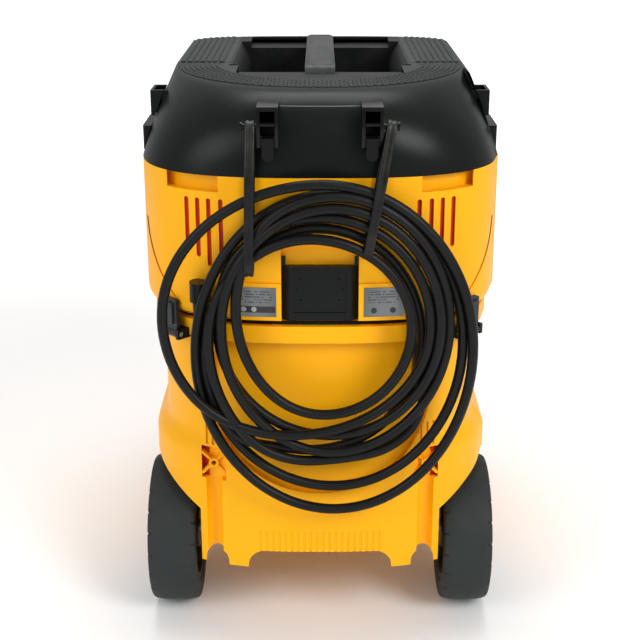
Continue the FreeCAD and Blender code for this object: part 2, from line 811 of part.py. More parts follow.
def tray_outline(grow):
    top = hood_high + 0.6
    return [
        (-tray_half - grow, tray_floor - tray_wall - grow), (-tray_half - grow, tray_flare_low),
        (-tray_flare - grow, top), (tray_flare + grow, top), (tray_half + grow, tray_flare_low),
        (tray_half + grow, tray_floor - tray_wall - grow),
    ]


def tray_solid(grow):
    start = rear_y + jog_set - grow
    main = polygon([(x, start, z) for x, z in tray_outline(grow)], (0, tray_front - jog_set + 2 * grow, 0))
    top = hood_high + 0.6
    back = box(-tray_half - grow, tray_half + grow, rear_y + tray_rear - grow, start + 5,
               tray_floor - tray_wall - grow, top)
    return fuse([main, back])


def make_hood():
    shell = hood_outer.cut(hood_form(hood_wall))
    shell = shell.cut([tray_solid(seat_gap), panel_block(seat_gap, 30.0)])
    region = split_region(0.0)
    rear = shell.common(region)
    front = shell.cut(split_region(hood_gap))
    return rear, front


def make_tray():
    body = tray_solid(0.0)
    top = hood_high
    hollow = []
    inner = [(-tray_half + tray_wall, tray_floor), (-tray_half + tray_wall, tray_flare_low),
             (-tray_flare + tray_wall, top + 1), (tray_flare - tray_wall, top + 1),
             (tray_half - tray_wall, tray_flare_low), (tray_half - tray_wall, tray_floor)]
    start = rear_y + jog_set + tray_wall
    end = rear_y + tray_ledge
    hollow.append(polygon([(x, start, z) for x, z in inner], (0, end - start, 0)))
    hollow.append(box(-tray_half + tray_wall, tray_half - tray_wall, end, rear_y + tray_front + 1,
                      tray_front_top, top + 2))
    for i in range(4):
        y0 = rear_y + tray_rear + tray_tread * i
        hollow.append(box(-tray_half - 1, tray_half + 1, y0 - 1, rear_y + jog_set + 5,
                          top - tray_step * i - 0.4, top + 2))
    body = body.cut(hollow)
    under = [
        box(-tray_half + tray_wall, tray_half - tray_wall, rear_y + tray_rear + tray_wall,
            rear_y + jog_set, tray_floor - 10, top - 4 * tray_step - tray_wall),
        box(-tray_half + tray_wall, tray_half - tray_wall, end + tray_wall,
            rear_y + tray_front - tray_wall, tray_floor - 10, tray_front_top - tray_wall),
    ]
    wells = []
    for side in (-1, 1):
        wells.append(rod((side * 46, rear_y + 300, tray_floor - 1.6), (0, 0, 1), 20.0, 10))
    return body.cut(under).cut(wells)


def make_handle():
    back = rear_y + handle_root
    front = rear_y + tray_front
    step = rear_y + jog_set
    ledge = rear_y + tray_ledge
    top = handle_seat + handle_thick
    under = [(back, handle_seat), (step, handle_seat), (step + 12, handle_seat + 1.0),
             (ledge, tray_front_top + 0.6), (ledge + 2, tray_front_top), (front, tray_front_top)]
    edges = [Part.LineSegment(V(0, *a), V(0, *b)).toShape() for a, b in zip(under, under[1:])]
    over = [(front, tray_front_top), (front - 4, top - 3.5), (front - 16, top - 1),
            ((back + front) / 2 + 10, top + 1.5), (back + 9, top - 1), (back + 2.5, top - 4.5),
            (back, handle_seat)]
    for i in (0, 2, 4):
        edges.append(Part.Arc(V(0, *over[i]), V(0, *over[i + 1]), V(0, *over[i + 2])).toShape())
    bar = Part.Face(Part.Wire(edges)).extrude(V(2 * handle_half, 0, 0))
    bar.translate(V(-handle_half, 0, 0))
    crown_radius = (handle_half ** 2 + handle_crown ** 2) / (2 * handle_crown)
    crown = rod((0, back - 10, top + 1.5 - crown_radius), (0, 1, 0), crown_radius, front - back + 20)
    return bar.common(crown).cut(make_tray())


def panel_place(shape):
    placed = shape.copy()
    placed.rotate(V(0, 0, 0), V(0, 0, 1), 180)
    placed.rotate(V(0, 0, 0), V(1, 0, 0), -(90 - panel_tilt))
    placed.translate(V(0, panel_low_y, panel_low_z))
    return placed


def panel_block(grow, depth):
    block = box(-panel_half - grow, panel_half + grow, -grow, panel_height + grow,
                -depth if depth > panel_thick else -panel_thick, depth if depth > panel_thick else 0)
    return panel_place(block)


def hood_clean(shape):
    return shape.cut(hood_outer)


def make_panel():
    body = panel_block(0.0, panel_thick)
    cuts = []
    for side in (-1, 1):
        cuts.append(panel_place(rod((side * knob_x, panel_height / 2, -panel_thick - 1), (0, 0, 1),
                                    knob_shaft + run_gap, panel_thick + 2)))
    cuts.append(panel_place(rod((0, panel_middle, -panel_thick - 1), (0, 0, 1), socket_well + seat_gap,
                                panel_thick + 2)))
    body = body.cut(cuts)
    ears = []
    for side in (-1, 1):
        x0 = side * (flap_half + 0.4 + 1.5) - 1.5
        ear = box(x0, x0 + 3.0, flap_hinge - 3.2, flap_hinge + 2.8, -1.0, flap_axis + 3.2)
        ears.append(panel_place(ear))
    reach = flap_half + 3.0
    pin = rod((-reach, flap_hinge, flap_axis), (1, 0, 0), flap_pin, 2 * reach)
    return body.fuse(ears + [panel_place(pin)])


def make_knob(side, pointer):
    x = side * knob_x
    y = panel_height / 2
    skirt = rod((x, y, knob_gap), (0, 0, 1), knob_radius, 3.0)
    dome = Part.makeCone(knob_radius - 3.0, knob_radius - 6.0, knob_height - 3.0, V(x, y, knob_gap + 3.0),
                         V(0, 0, 1))
    shaft = rod((x, y, -panel_thick - 8.0), (0, 0, 1), knob_shaft, panel_thick + 8.0 + knob_gap + 1)
    knob = fuse([skirt, dome, shaft])
    notch = box(x - pointer, x + pointer, y + knob_radius - 8.0, y + knob_radius + 1, knob_gap + 8, 40)
    scallops = []
    for i in range(12):
        groove = rod((x + knob_radius - 2.6, y, knob_gap + 3.6), (0, 0, 1), 1.8, knob_height)
        groove.rotate(V(x, y, 0), V(0, 0, 1), 30.0 * i + 15.0)
        scallops.append(groove)
    return panel_place(knob.cut([notch] + scallops))


def make_outlet():
    cup = rod((0, panel_middle, -24.0), (0, 0, 1), socket_well, 24.0 - 0.5)
    cup = cup.cut(rod((0, panel_middle, -18.0), (0, 0, 1), socket_well - 3.0, 20.0))
    for x, y, r in ((-6.5, 3.0, 2.0), (6.5, 3.0, 2.0), (0.0, -6.5, 2.4)):
        cup = cup.cut(rod((x, panel_middle + y, -23.0), (0, 0, 1), r, 10.0))
    half = flap_half
    plate = box(-half, half, panel_middle - half + 2, flap_hinge - 1.0, knob_gap, knob_gap + flap_thick)
    plate = round_edges_low(plate)
    barrel = rod((-half, flap_hinge, flap_axis), (1, 0, 0), flap_pin + 1.3, 2 * half)
    lip = box(-8, 8, panel_middle - half - 1, panel_middle - half + 4, knob_gap + 1, knob_gap + 6)
    flap = fuse([plate, barrel, lip]).cut(rod((-half - 1, flap_hinge, flap_axis), (1, 0, 0),
                                              flap_pin + run_gap, 2 * half + 2))
    return panel_place(cup), panel_place(flap)


def round_edges_low(plate):
    low = plate.BoundBox.YMin
    chosen = []
    for edge in plate.Edges:
        b = edge.BoundBox
        if b.ZLength > 1.0 and b.YMax < low + 0.1:
            chosen.append(edge)
    return plate.makeFillet(6.0, chosen)


# ---- cord storage -------------------------------------------------------
def make_hook(side):
    x = side * hook_x
    front = rear_y - hook_reach
    cheek_outline = [
        (rear_y + 40, hook_top), (front + 4, hook_top), (front, hook_top - 5), (front, hook_low + 13.0),
        (front + 5, hook_low), (rear_y + 20, hook_low),
    ]
    parts = []
    for edge in (-1, 1):
        x0 = x + edge * (hook_half - hook_cheek / 2) - hook_cheek / 2
        parts.append(polygon([(x0, y, z) for y, z in cheek_outline], (hook_cheek, 0, 0)))
    parts.append(box(x - hook_half, x + hook_half, front, rear_y + 40, hook_top - 4.0, hook_top))
    parts.append(rod((x - hook_half + 1, front + 4.5, hook_top - hook_bar_drop), (1, 0, 0), 2.2,
                     2 * hook_half - 2))
    tongue = box(x - tongue_half, x + tongue_half, front + 3, rear_y + 20, hook_top - tongue_drop,
                 hook_low + 9.0)
    tip = rod((x, front + 3, hook_top - tongue_drop), (0, 1, 0), tongue_half, rear_y + 20 - front - 3)
    parts += [tongue, tip]
    parts.append(box(x - hook_half, x + hook_half, rear_y - 2, rear_y + 20, hook_low, hook_low + 10.0))
    start = x + side * (hook_half - 1)
    peg = rod((start, rear_y + peg_y, strap_top - peg_radius), (side, 0, 0), peg_radius, peg_length)
    button = rod((start + side * (peg_length - 1), rear_y + peg_y, strap_top - peg_radius), (side, 0, 0),
                 peg_button, 1.8)
    return hood_clean(fuse(parts + [peg, button]))


def make_strap(side, pitch, low, tilt):
    gap = strap_gap
    inner = [
        (coil_front_y - gap, low + strap_bend), (coil_front_y - gap, coil_high + 2),
        (rear_y + peg_y - 3.4, strap_top), (rear_y + peg_y + 3.4, strap_top),
        (coil_back_y + gap, coil_high + 2), (coil_back_y + gap, low + strap_bend),
    ]
    lines = [Part.LineSegment(V(0, *a), V(0, *b)).toShape() for a, b in zip(inner, inner[1:])]
    middle = (coil_front_y + coil_back_y) / 2
    bottom = Part.Arc(V(0, coil_back_y + gap, low + strap_bend), V(0, middle, low),
                      V(0, coil_front_y - gap, low + strap_bend))
    wire = Part.Wire(lines + [bottom.toShape()])
    face = Part.Face(wire)
    band = face.makeOffset2D(strap_thick)
    band = band.cut(face).extrude(V(strap_width, 0, 0))
    band.translate(V(-strap_width / 2, 0, 0))
    band.rotate(V(0, 0, strap_top), V(0, 1, 0), tilt)
    band.translate(V(pitch, 0, 0))
    return band if side > 0 else mirror(band)


def cord_tube(points):
    # Straight runs joined by tangent arcs, as large as the runs allow.
    vectors = [V(x, rear_y + y, z) for x, y, z in points]
    edges = []
    start = vectors[0]
    length = 0.0
    for before, corner, after in zip(vectors, vectors[1:], vectors[2:]):
        a = before - corner
        b = after - corner
        run = 0.45 * min(a.Length, b.Length)
        a.normalize()
        b.normalize()
        half_turn = (math.pi - a.getAngle(b)) / 2
        radius = run / math.tan(half_turn)
        p0 = corner + a * run
        p1 = corner + b * run
        centre_way = (a + b).normalize()
        centre = corner + centre_way * (radius / math.cos(half_turn))
        middle = centre - centre_way * radius
        edges.append(Part.LineSegment(start, p0).toShape())
        edges.append(Part.Arc(p0, middle, p1).toShape())
        length += (p0 - start).Length + 2 * half_turn * radius
        start = p1
        print("cord radius", round(radius, 1))
    edges.append(Part.LineSegment(start, vectors[-1]).toShape())
    length += (vectors[-1] - start).Length
    path = Part.Wire(edges)
    way = vectors[1] - vectors[0]
    ring = Part.Wire([Part.makeCircle(cord_radius, vectors[0], way)])
    tube = path.makePipeShell([ring], True, True)
    print("cord tube length", round(length, 1), "volume ratio",
          round(tube.Volume / (math.pi * cord_radius ** 2 * length), 4))
    return tube


def strap_notches():
    # Room for each strap where it passes under the coil's inner edge.
    notches = []
    for side, pitch, low, tilt in straps:
        x = side * (pitch - (strap_top - low) * math.sin(math.radians(tilt)))
        notches.append(box(x - strap_width, x + strap_width, coil_front_y - 1, coil_back_y + 1,
                           low - 2 * strap_thick, low + strap_bend + strap_width))
    return notches


def make_coil():
    middle = (coil_low + coil_high) / 2
    outline = Part.Ellipse(V(0, coil_front_y, coil_high), V(coil_half, coil_front_y, middle),
                           V(0, coil_front_y, middle))
    coil = Part.Face(Part.Wire([outline.toShape()])).extrude(V(0, coil_thick, 0))
    coil = coil.cut(rod((0, coil_front_y - 1, coil_hole_z), (0, 1, 0), coil_hole, coil_thick + 2))
    y0 = rear_y + plug_y - plug_thick / 2
    room = box(plug_x - plug_width / 2 - seat_gap, plug_x + plug_width / 2 + seat_gap, y0 - seat_gap,
               coil_back_y + 1, plug_low - plug_neck, plug_high + blade_length + 4)
    return coil.cut([room] + strap_notches())


def make_plug():
    # The plug stands upright behind the coil: its cord enters from below and its blades point up.
    y = rear_y + plug_y
    body = box(plug_x - plug_width / 2, plug_x + plug_width / 2, y - plug_thick / 2, y + plug_thick / 2,
               plug_low, plug_high)
    body = round_edges(body, V(0, 0, 1), 5.0)
    neck = Part.makeCone(cord_radius + 1.0, 9.0, plug_neck, V(plug_x, y, plug_low - plug_neck), V(0, 0, 1))
    blades = []
    for dx in (-6.3, 6.3):
        blades.append(box(plug_x + dx - 0.8, plug_x + dx + 0.8, y - 6, y + 0.4, plug_high - 2,
                          plug_high + blade_length))
    blades.append(rod((plug_x, y + 5.5, plug_high - 2), (0, 0, 1), 2.4, blade_length + 4))
    return Part.makeCompound([body.fuse(neck).cut(blades)] + blades)


def make_gland():
    boss_low = gland_high - gland_boss
    y = rear_y + gland_y
    boss = rod((gland_x, y, boss_low), (0, 0, 1), gland_boss_radius, gland_boss)
    taper = Part.makeCone(gland_tip, gland_radius, gland_length, V(gland_x, y, boss_low - gland_length),
                          V(0, 0, 1))
    return boss.fuse(taper).cut(housing_prism(0.0, housing_low - 1, housing_high))


# ---- side pieces of the hood --------------------------------------------
def make_side_loop():
    middle = rear_y + side_y
    half = loop_length / 2
    loop = box(140, loop_outer, middle - half, middle + half, loop_high - loop_height, loop_high)
    hole = box(139, loop_outer - 3.0, middle - half + 4, middle + half - 4,
               loop_high - loop_height + 4, loop_high + 1)
    return hood_clean(loop.cut(hole))


def make_side_clip():
    middle = rear_y + side_y
    half = clip_length / 2
    clip = box(150, clip_outer, middle - half, middle + half, housing_high + 1.0, clip_high)
    clip = round_edges(clip, V(0, 0, 1), 3.0)
    hollow = box(140, clip_outer - plate_thick, middle - half + 3, middle + half - 3,
                 housing_high, clip_high - plate_thick)
    return hood_clean(clip.cut(hollow))


# ---- latches ------------------------------------------------------------
def latch_place(shape, side):
    x, y = corner_point(collar_half, rear_y + collar_set, tank_rear_depth)
    placed = shape.copy()
    placed.rotate(V(0, 0, 0), V(0, 0, 1), -135)
    placed.translate(V(x, y, 0))
    return placed if side > 0 else mirror(placed)


def latch_reach():
    # How far the housing's corner stands out from the collar's.
    x0, y0 = corner_point(collar_half, rear_y + collar_set, tank_rear_depth)
    x1, y1 = corner_point(housing_half, rear_y, housing_rear_depth)
    return ((x1 - x0) - (y1 - y0)) / math.sqrt(2.0)


def make_latch(side):
    inner = latch_reach() + latch_gap
    middle = inner + latch_thick / 2
    half = latch_width / 2
    plate = box(-half, half, inner, inner + latch_thick, latch_low, latch_low + latch_rise)
    plate = round_edges(plate, V(0, 1, 0), 3.0)
    grip = box(-half + 4, half - 4, inner + latch_thick, inner + latch_thick + 2.5, latch_low + 10,
               latch_low + latch_rise - 4)
    barrel = rod((-half, middle, latch_low), (1, 0, 0), latch_pin + 2.2, latch_width)
    lever = fuse([plate, grip, barrel]).cut(rod((-half - 1, middle, latch_low), (1, 0, 0),
                                                latch_pin + run_gap, latch_width + 2))
    pin = rod((-half - 4.0, middle, latch_low), (1, 0, 0), latch_pin, latch_width + 8.0)
    ears = []
    for edge in (-1, 1):
        x0 = edge * (half + 0.5 + 2.0) - 2.0
        ears.append(box(x0, x0 + 4.0, -6, middle + 4.5, latch_low - 5, latch_low + 5.5))
    ears.append(box(-half - 4.5, half + 4.5, -6, middle - latch_pin - 3.4, latch_low - 5, latch_low + 5.5))
    base = fuse(ears).cut(rod((-half - 9, middle, latch_low), (1, 0, 0), latch_pin, latch_width + 18))
    clear = fuse([collar_prism(0.0, collar_low, tank_top), tank_form(0.0, tank_foot, collar_low)])
    return latch_place(lever, side), latch_place(pin, side), latch_place(base, side).cut(clear)


# ---- inside the head ----------------------------------------------------
def make_deck():
    deck = housing_prism(wall + seat_gap, deck_low, deck_high)
    half = back_channel_half + wall + seat_gap
    cuts = [back_band(back_channel_depth + wall + seat_gap, -half, half, deck_low - 1, deck_high + 1)]
    for side in (-1, 1):
        cuts.append(rod((side * filter_x, filter_y, deck_low - 1), (0, 0, 1), filter_neck, 20))
    cuts.append(rod((0, float_y, deck_low - 1), (0, 0, 1), intake_radius, 20))
    for x, y in deck_screws():
        cuts.append(rod((x, y, deck_low - 1), (0, 0, 1), screw_shank + run_gap, 20))
    return deck.cut(cuts)


def deck_screws():
    return [(x, y) for x in (-150, 150) for y in (-90, 60, 170)]


def make_deck_screws():
    screws = []
    for x, y in deck_screws():
        shank = rod((x, y, deck_low), (0, 0, 1), screw_shank, deck_thick)
        head = rod((x, y, deck_high), (0, 0, 1), screw_head, 2.6)
        screws.append(fuse([shank, head]))
    return Part.makeCompound(screws)


def make_filter(side):
    x = side * filter_x
    low = deck_low - filter_drop
    body = rod((x, filter_y, low), (0, 0, 1), filter_radius, filter_drop)
    core = fuse([
        rod((x, filter_y, low + 4.0), (0, 0, 1), filter_radius - filter_wall, filter_drop - 10.0),
        rod((x, filter_y, low + 4.0), (0, 0, 1), filter_neck, filter_drop),
    ])
    pleats = []
    for i in range(24):
        groove = rod((x + filter_radius, filter_y, low + 8.0), (0, 0, 1), 3.0, filter_drop - 16.0)
        groove.rotate(V(x, filter_y, 0), V(0, 0, 1), 15.0 * i)
        pleats.append(groove)
    return body.cut([core] + pleats)


def make_float():
    inner = float_radius + cage_gap
    low = deck_low - float_cage_drop
    cage = rod((0, float_y, low), (0, 0, 1), inner + cage_wall, float_cage_drop)
    cage = cage.cut(rod((0, float_y, low + cage_wall), (0, 0, 1), inner, float_cage_drop))
    slots = []
    for turn in (0, 60, 120):
        slot = box(-inner - 10, inner + 10, -7, 7, low + 10, deck_low - 10)
        slot.rotate(V(0, 0, 0), V(0, 0, 1), turn)
        slot.translate(V(0, float_y, 0))
        slots.append(slot)
    slots.append(rod((0, float_y, low - 1), (0, 0, 1), 8.0, 10))
    seat = math.sqrt(float_radius ** 2 - 8.0 ** 2)
    ball = Part.makeSphere(float_radius, V(0, float_y, low + cage_wall + seat + 0.05))
    return cage.cut(slots), ball


def make_motor():
    cx, cy = 0.0, motor_y
    fan = rod((cx, cy, deck_high), (0, 0, 1), fan_radius, fan_height)
    fan = fan.cut([
        rod((cx, cy, deck_high - 1), (0, 0, 1), fan_radius - fan_wall, fan_height - fan_wall + 1),
        rod((cx, cy, deck_high), (0, 0, 1), shaft_radius + 2.0, fan_height + 10),
    ])
    for i in range(6):
        port = box(fan_radius - 8, fan_radius + 5, -9, 9, deck_high + 10, deck_high + fan_height - 8)
        port.rotate(V(0, 0, 0), V(0, 0, 1), 60.0 * i)
        port.translate(V(cx, cy, 0))
        fan = fan.cut(port)
    low = deck_high + fan_height
    motor = rod((cx, cy, low), (0, 0, 1), motor_radius, motor_height)
    motor = motor.cut(rod((cx, cy, low - 1), (0, 0, 1), shaft_radius + run_gap, motor_height + 2))
    fins = []
    for i in range(12):
        fin = box(motor_radius - 5, motor_radius + 5, -2, 2, low + 14, low + motor_height - 10)
        fin.rotate(V(0, 0, 0), V(0, 0, 1), 30.0 * i)
        fin.translate(V(cx, cy, 0))
        fins.append(fin)
    motor = motor.cut(fins)
    shaft = rod((cx, cy, deck_high + 3), (0, 0, 1), shaft_radius, fan_height + motor_height + 5)
    disc_low = deck_high + 8
    impeller = rod((cx, cy, disc_low), (0, 0, 1), impeller_radius, 2.0)
    blades = [impeller, rod((cx, cy, disc_low), (0, 0, 1), 14.0, 16.0)]
    for i in range(9):
        blade = box(12, impeller_radius - 2, -1.2, 1.2, disc_low + 1, disc_low + 16)
        blade.rotate(V(20, 0, 0), V(0, 0, 1), 25)
        blade.rotate(V(0, 0, 0), V(0, 0, 1), 40.0 * i)
        blade.translate(V(cx, cy, 0))
        blades.append(blade)
    impeller = fuse(blades).cut(rod((cx, cy, disc_low - 1), (0, 0, 1), shaft_radius, 30))
    return fan, motor, shaft, impeller


def make_valve(side):
    x = side * filter_x
    disc = rod((x, filter_y, deck_high), (0, 0, 1), valve_radius, valve_thick)
    stem = rod((x, filter_y, deck_high), (0, 0, 1), valve_stem, guide_height + 8.0)
    valve = disc.fuse(stem)
    half = guide_length / 2
    arch = box(-half, half, -guide_width / 2, guide_width / 2, deck_high, deck_high + guide_height)
    arch = arch.cut([
        box(-half + guide_thick, half - guide_thick, -20, 20, deck_high - 1,
            deck_high + guide_height - guide_thick),
        rod((0, 0, deck_high), (0, 0, 1), valve_stem + run_gap, guide_height + 10),
    ])
    arch.rotate(V(0, 0, 0), V(0, 0, 1), side * 45.0)
    arch.translate(V(x, filter_y, 0))
    return valve, arch


def make_board():
    board = box(-board_half, board_half, board_y, board_y + 1.6, board_low, board_low + board_height)
    blocks = [board]
    for x, z, w in ((-36, 10, 16), (-8, 14, 22), (28, 12, 18)):
        blocks.append(box(x - w / 2, x + w / 2, board_y - 14, board_y, board_low + z,
                          board_low + z + w))
    foot = box(-board_half, board_half, board_y - 6, board_y + 8, deck_high, board_low)
    return fuse(blocks + [foot])


hood_outer = hood_form(0.0)
nodes["tank_shell"] = make_tank()
nodes["inlet_port"], nodes["inlet_seal"], nodes["inlet_screws"] = make_inlet()
nodes["inlet_deflector"] = make_deflector()
nodes["rear_axle"], nodes["axle_clips"] = make_axle()
gasket = collar_prism(gasket_set, tank_top, housing_low)
nodes["tank_gasket"] = gasket.cut(collar_prism(collar_wall - 0.5, tank_top - 1, housing_low + 1))
caster_mounts = []
latch_pins = []
latch_bases = []
valve_guides = []
for side, word in ((-1, "left"), (1, "right")):
    pieces = make_wheel(side)
    nodes["tyre_" + word], nodes["wheel_rim_" + word], nodes["wheel_cap_" + word] = pieces
    mount, fork, pin, wheel = make_caster(side)
    caster_mounts.append(mount)
    nodes["caster_fork_" + word] = fork
    nodes["caster_axle_" + word] = pin
    nodes["caster_wheel_" + word] = wheel
    nodes["latch_" + word], pin, base = make_latch(side)
    latch_pins.append(pin)
    latch_bases.append(base)
    nodes["cord_hook_" + word] = make_hook(side)
    nodes["filter_" + word] = make_filter(side)
    nodes["purge_valve_" + word], guide = make_valve(side)
    valve_guides.append(guide)
nodes["caster_mounts"] = Part.makeCompound(caster_mounts)
nodes["latch_pins"] = Part.makeCompound(latch_pins)
nodes["latch_bases"] = Part.makeCompound(latch_bases)
nodes["cord_strap_left"], nodes["cord_strap_right"] = [make_strap(*strap) for strap in straps]
nodes["motor_housing"] = make_housing()
nodes["rating_labels"] = make_labels()
nodes["rear_bracket"] = make_bracket()
nodes["rear_hood"], nodes["front_hood"] = make_hood()
nodes["pocket_tray"] = make_tray()
nodes["carry_handle"] = make_handle()
nodes["control_panel"] = make_panel()
nodes["power_knob"] = make_knob(-1, 1.2)
nodes["hose_dial"] = make_knob(1, 2.0)
nodes["outlet_socket"], nodes["outlet_flap"] = make_outlet()
nodes["side_loops"] = both(make_side_loop())
nodes["side_clips"] = both(make_side_clip())
nodes["filter_deck"] = make_deck().fuse(valve_guides)
nodes["deck_screws"] = make_deck_screws()
nodes["float_cage"], nodes["float_ball"] = make_float()
nodes["fan_housing"], nodes["motor_body"], nodes["rotor_shaft"], nodes["impeller"] = make_motor()
nodes["control_board"] = make_board()
nodes["cord_coil"] = make_coil()
nodes["plug"] = make_plug()
nodes["power_cord"] = Part.makeCompound([cord_tube(lead_route), cord_tube(tail_route)])
nodes["cord_gland"] = make_gland()

os.makedirs("parts", exist_ok=True)
for name, shape in nodes.items():
    shape.exportStep("parts/" + name + ".step")
    extent = shape.BoundBox
    print(name, len(shape.Solids), shape.isValid(), round(shape.Volume), [round(v) for v in (
        extent.XMin, extent.XMax, extent.YMin, extent.YMax, extent.ZMin, extent.ZMax)])
print(len(nodes), "nodes")
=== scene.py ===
import json
import math
import bpy
import numpy as np
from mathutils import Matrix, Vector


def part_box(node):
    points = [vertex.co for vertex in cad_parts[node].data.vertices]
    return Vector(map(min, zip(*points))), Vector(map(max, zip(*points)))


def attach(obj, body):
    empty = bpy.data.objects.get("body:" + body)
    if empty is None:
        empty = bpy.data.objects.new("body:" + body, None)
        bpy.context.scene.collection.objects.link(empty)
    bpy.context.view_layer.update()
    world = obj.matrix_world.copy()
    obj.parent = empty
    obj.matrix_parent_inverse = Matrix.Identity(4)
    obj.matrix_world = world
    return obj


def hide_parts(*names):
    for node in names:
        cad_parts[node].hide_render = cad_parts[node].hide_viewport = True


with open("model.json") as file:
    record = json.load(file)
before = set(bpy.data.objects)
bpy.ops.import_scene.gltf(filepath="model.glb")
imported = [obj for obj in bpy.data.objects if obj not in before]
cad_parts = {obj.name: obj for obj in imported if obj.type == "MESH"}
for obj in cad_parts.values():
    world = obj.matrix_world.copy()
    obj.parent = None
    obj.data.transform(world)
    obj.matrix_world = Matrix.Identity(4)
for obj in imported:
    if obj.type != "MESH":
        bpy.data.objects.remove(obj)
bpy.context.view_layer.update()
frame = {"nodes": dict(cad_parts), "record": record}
nodes = frame["nodes"]
bodyOf = {node: body for body, members in frame["record"]["behaviour"]["bodies"].items() for node in members}
mm = 0.001
rearY = -0.268  # rear wall of the motor housing on the centre line
print("frame loaded:", len(nodes), "nodes")


# Camera, light and room
camera = {"place": (0.0, -1.468, 0.789), "down": 19.4, "lens": 72.56, "sensor": 36.0}
aimPoint = (0.0, 0.0, 0.32)     # the lights face the middle of the machine
lights = {
    "key": {"place": (1.6, -2.0, 1.9), "size": 1.3, "power": 44.0},
    "fill": {"place": (-1.8, -1.7, 1.4), "size": 1.5, "power": 20.0},
    "top": {"place": (0.0, 0.5, 2.6), "size": 1.8, "power": 36.0},
}
room = {
    "world": (1.0, 1.0, 1.0),       # lights the object
    "worldPower": 0.5,
    "behind": (1.0, 1.0, 1.0),      # what the camera sees past the floor
    "floor": (0.92, 0.92, 0.92),
    "roughness": 0.8,
    "half": 12.0,
    "glow": 0.75,       # seen by the camera only, and rising between these two distances from the object
    "glowNear": 0.7,
    "glowFar": 2.6,
}


def makeCamera():
    data = bpy.data.cameras.new("camera")
    data.lens = camera["lens"]
    data.sensor_width = camera["sensor"]
    made = bpy.data.objects.new("camera", data)
    made.location = camera["place"]
    made.rotation_euler = (math.radians(90.0 - camera["down"]), 0.0, 0.0)
    bpy.context.scene.collection.objects.link(made)
    bpy.context.scene.camera = made


def makeLights():
    for name, light in lights.items():
        data = bpy.data.lights.new(name, "AREA")
        data.shape = "DISK"
        data.size = light["size"]
        data.energy = light["power"]
        made = bpy.data.objects.new(name, data)
        made.location = light["place"]
        aim = np.array(aimPoint) - np.array(light["place"])
        flat = math.hypot(aim[0], aim[1])
        made.rotation_euler = (math.atan2(flat, -aim[2]), 0.0, math.atan2(-aim[0], aim[1]))
        bpy.context.scene.collection.objects.link(made)
    world = bpy.data.worlds.new("studio")
    world.use_nodes = True
    tree = world.node_tree
    background = tree.nodes["Background"]
    background.inputs["Color"].default_value = (*room["world"], 1.0)
    background.inputs["Strength"].default_value = room["worldPower"]
    plain = tree.nodes.new("ShaderNodeBackground")
    plain.inputs["Color"].default_value = (*room["behind"], 1.0)
    rays = tree.nodes.new("ShaderNodeLightPath")
    chosen = tree.nodes.new("ShaderNodeMixShader")
    tree.links.new(rays.outputs["Is Camera Ray"], chosen.inputs[0])
    tree.links.new(background.outputs[0], chosen.inputs[1])
    tree.links.new(plain.outputs[0], chosen.inputs[2])
    tree.links.new(chosen.outputs[0], tree.nodes["World Output"].inputs["Surface"])
    bpy.context.scene.world = world


makeCamera()
makeLights()
bpy.context.scene.view_settings.view_transform = "Standard"
print("camera and lights ready")


# Mesh helpers
def gridFaces(rows, columns, wrapRows=False, wrapColumns=False):
    # Quads between neighbouring points of a rows x columns grid, numbered row by row.
    r = np.arange(rows if wrapRows else rows - 1)[:, None]
    c = np.arange(columns if wrapColumns else columns - 1)[None, :]
    rNext = (r + 1) % rows
    cNext = (c + 1) % columns
    corners = [r * columns + c, r * columns + cNext, rNext * columns + cNext, rNext * columns + c]
    return np.stack(corners, axis=-1).reshape(-1, 4)


def makePiece(name, points, faces, material, body, smooth=True):
    mesh = bpy.data.meshes.new(name)
    mesh.from_pydata(points.reshape(-1, 3).tolist(), [], [list(map(int, f)) for f in faces])
    mesh.polygons.foreach_set("use_smooth", np.full(len(mesh.polygons), smooth))
    mesh.materials.append(material)
    mesh.update()
    piece = bpy.data.objects.new(name, mesh)
    bpy.context.scene.collection.objects.link(piece)
    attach(piece, body)
    return piece


def roundPower(angle, power):
    # Superellipse: cosine and sine raised to 2/power with their signs kept.
    c, s = np.cos(angle), np.sin(angle)
    return np.sign(c) * np.abs(c) ** (2 / power), np.sign(s) * np.abs(s) ** (2 / power)


# Material helpers
def screenColour(red, green, blue):
    share = np.array((red, green, blue)) / 255.0
    linear = np.where(share <= 0.04045, share / 12.92, ((share + 0.055) / 1.055) ** 2.4)
    return (*linear.tolist(), 1.0)


def addNode(tree, kind, settings=None, inputs=None):
    made = tree.nodes.new(kind)
    for key, value in (settings or {}).items():
        setattr(made, key, value)
    for key, value in (inputs or {}).items():
        if isinstance(value, bpy.types.NodeSocket):
            tree.links.new(value, made.inputs[key])
        else:
            made.inputs[key].default_value = value
    return made


def math2(tree, operation, a, b=0.0, clamp=False):
    node = addNode(tree, "ShaderNodeMath", {"operation": operation, "use_clamp": clamp}, {0: a, 1: b})
    return node.outputs[0]


def mixColour(tree, mask, a, b):
    node = addNode(tree, "ShaderNodeMix", {"data_type": "RGBA"}, {"Factor": mask, 6: a, 7: b})
    return node.outputs[2]


def startGroup(name, inputs, outputs):
    group = bpy.data.node_groups.new(name, "ShaderNodeTree")
    for label, kind, value in inputs:
        socket = group.interface.new_socket(label, in_out="INPUT", socket_type=kind)
        if value is not None:
            socket.default_value = value
    for label, kind in outputs:
        group.interface.new_socket(label, in_out="OUTPUT", socket_type=kind)
    return group, group.nodes.new("NodeGroupInput"), group.nodes.new("NodeGroupOutput")


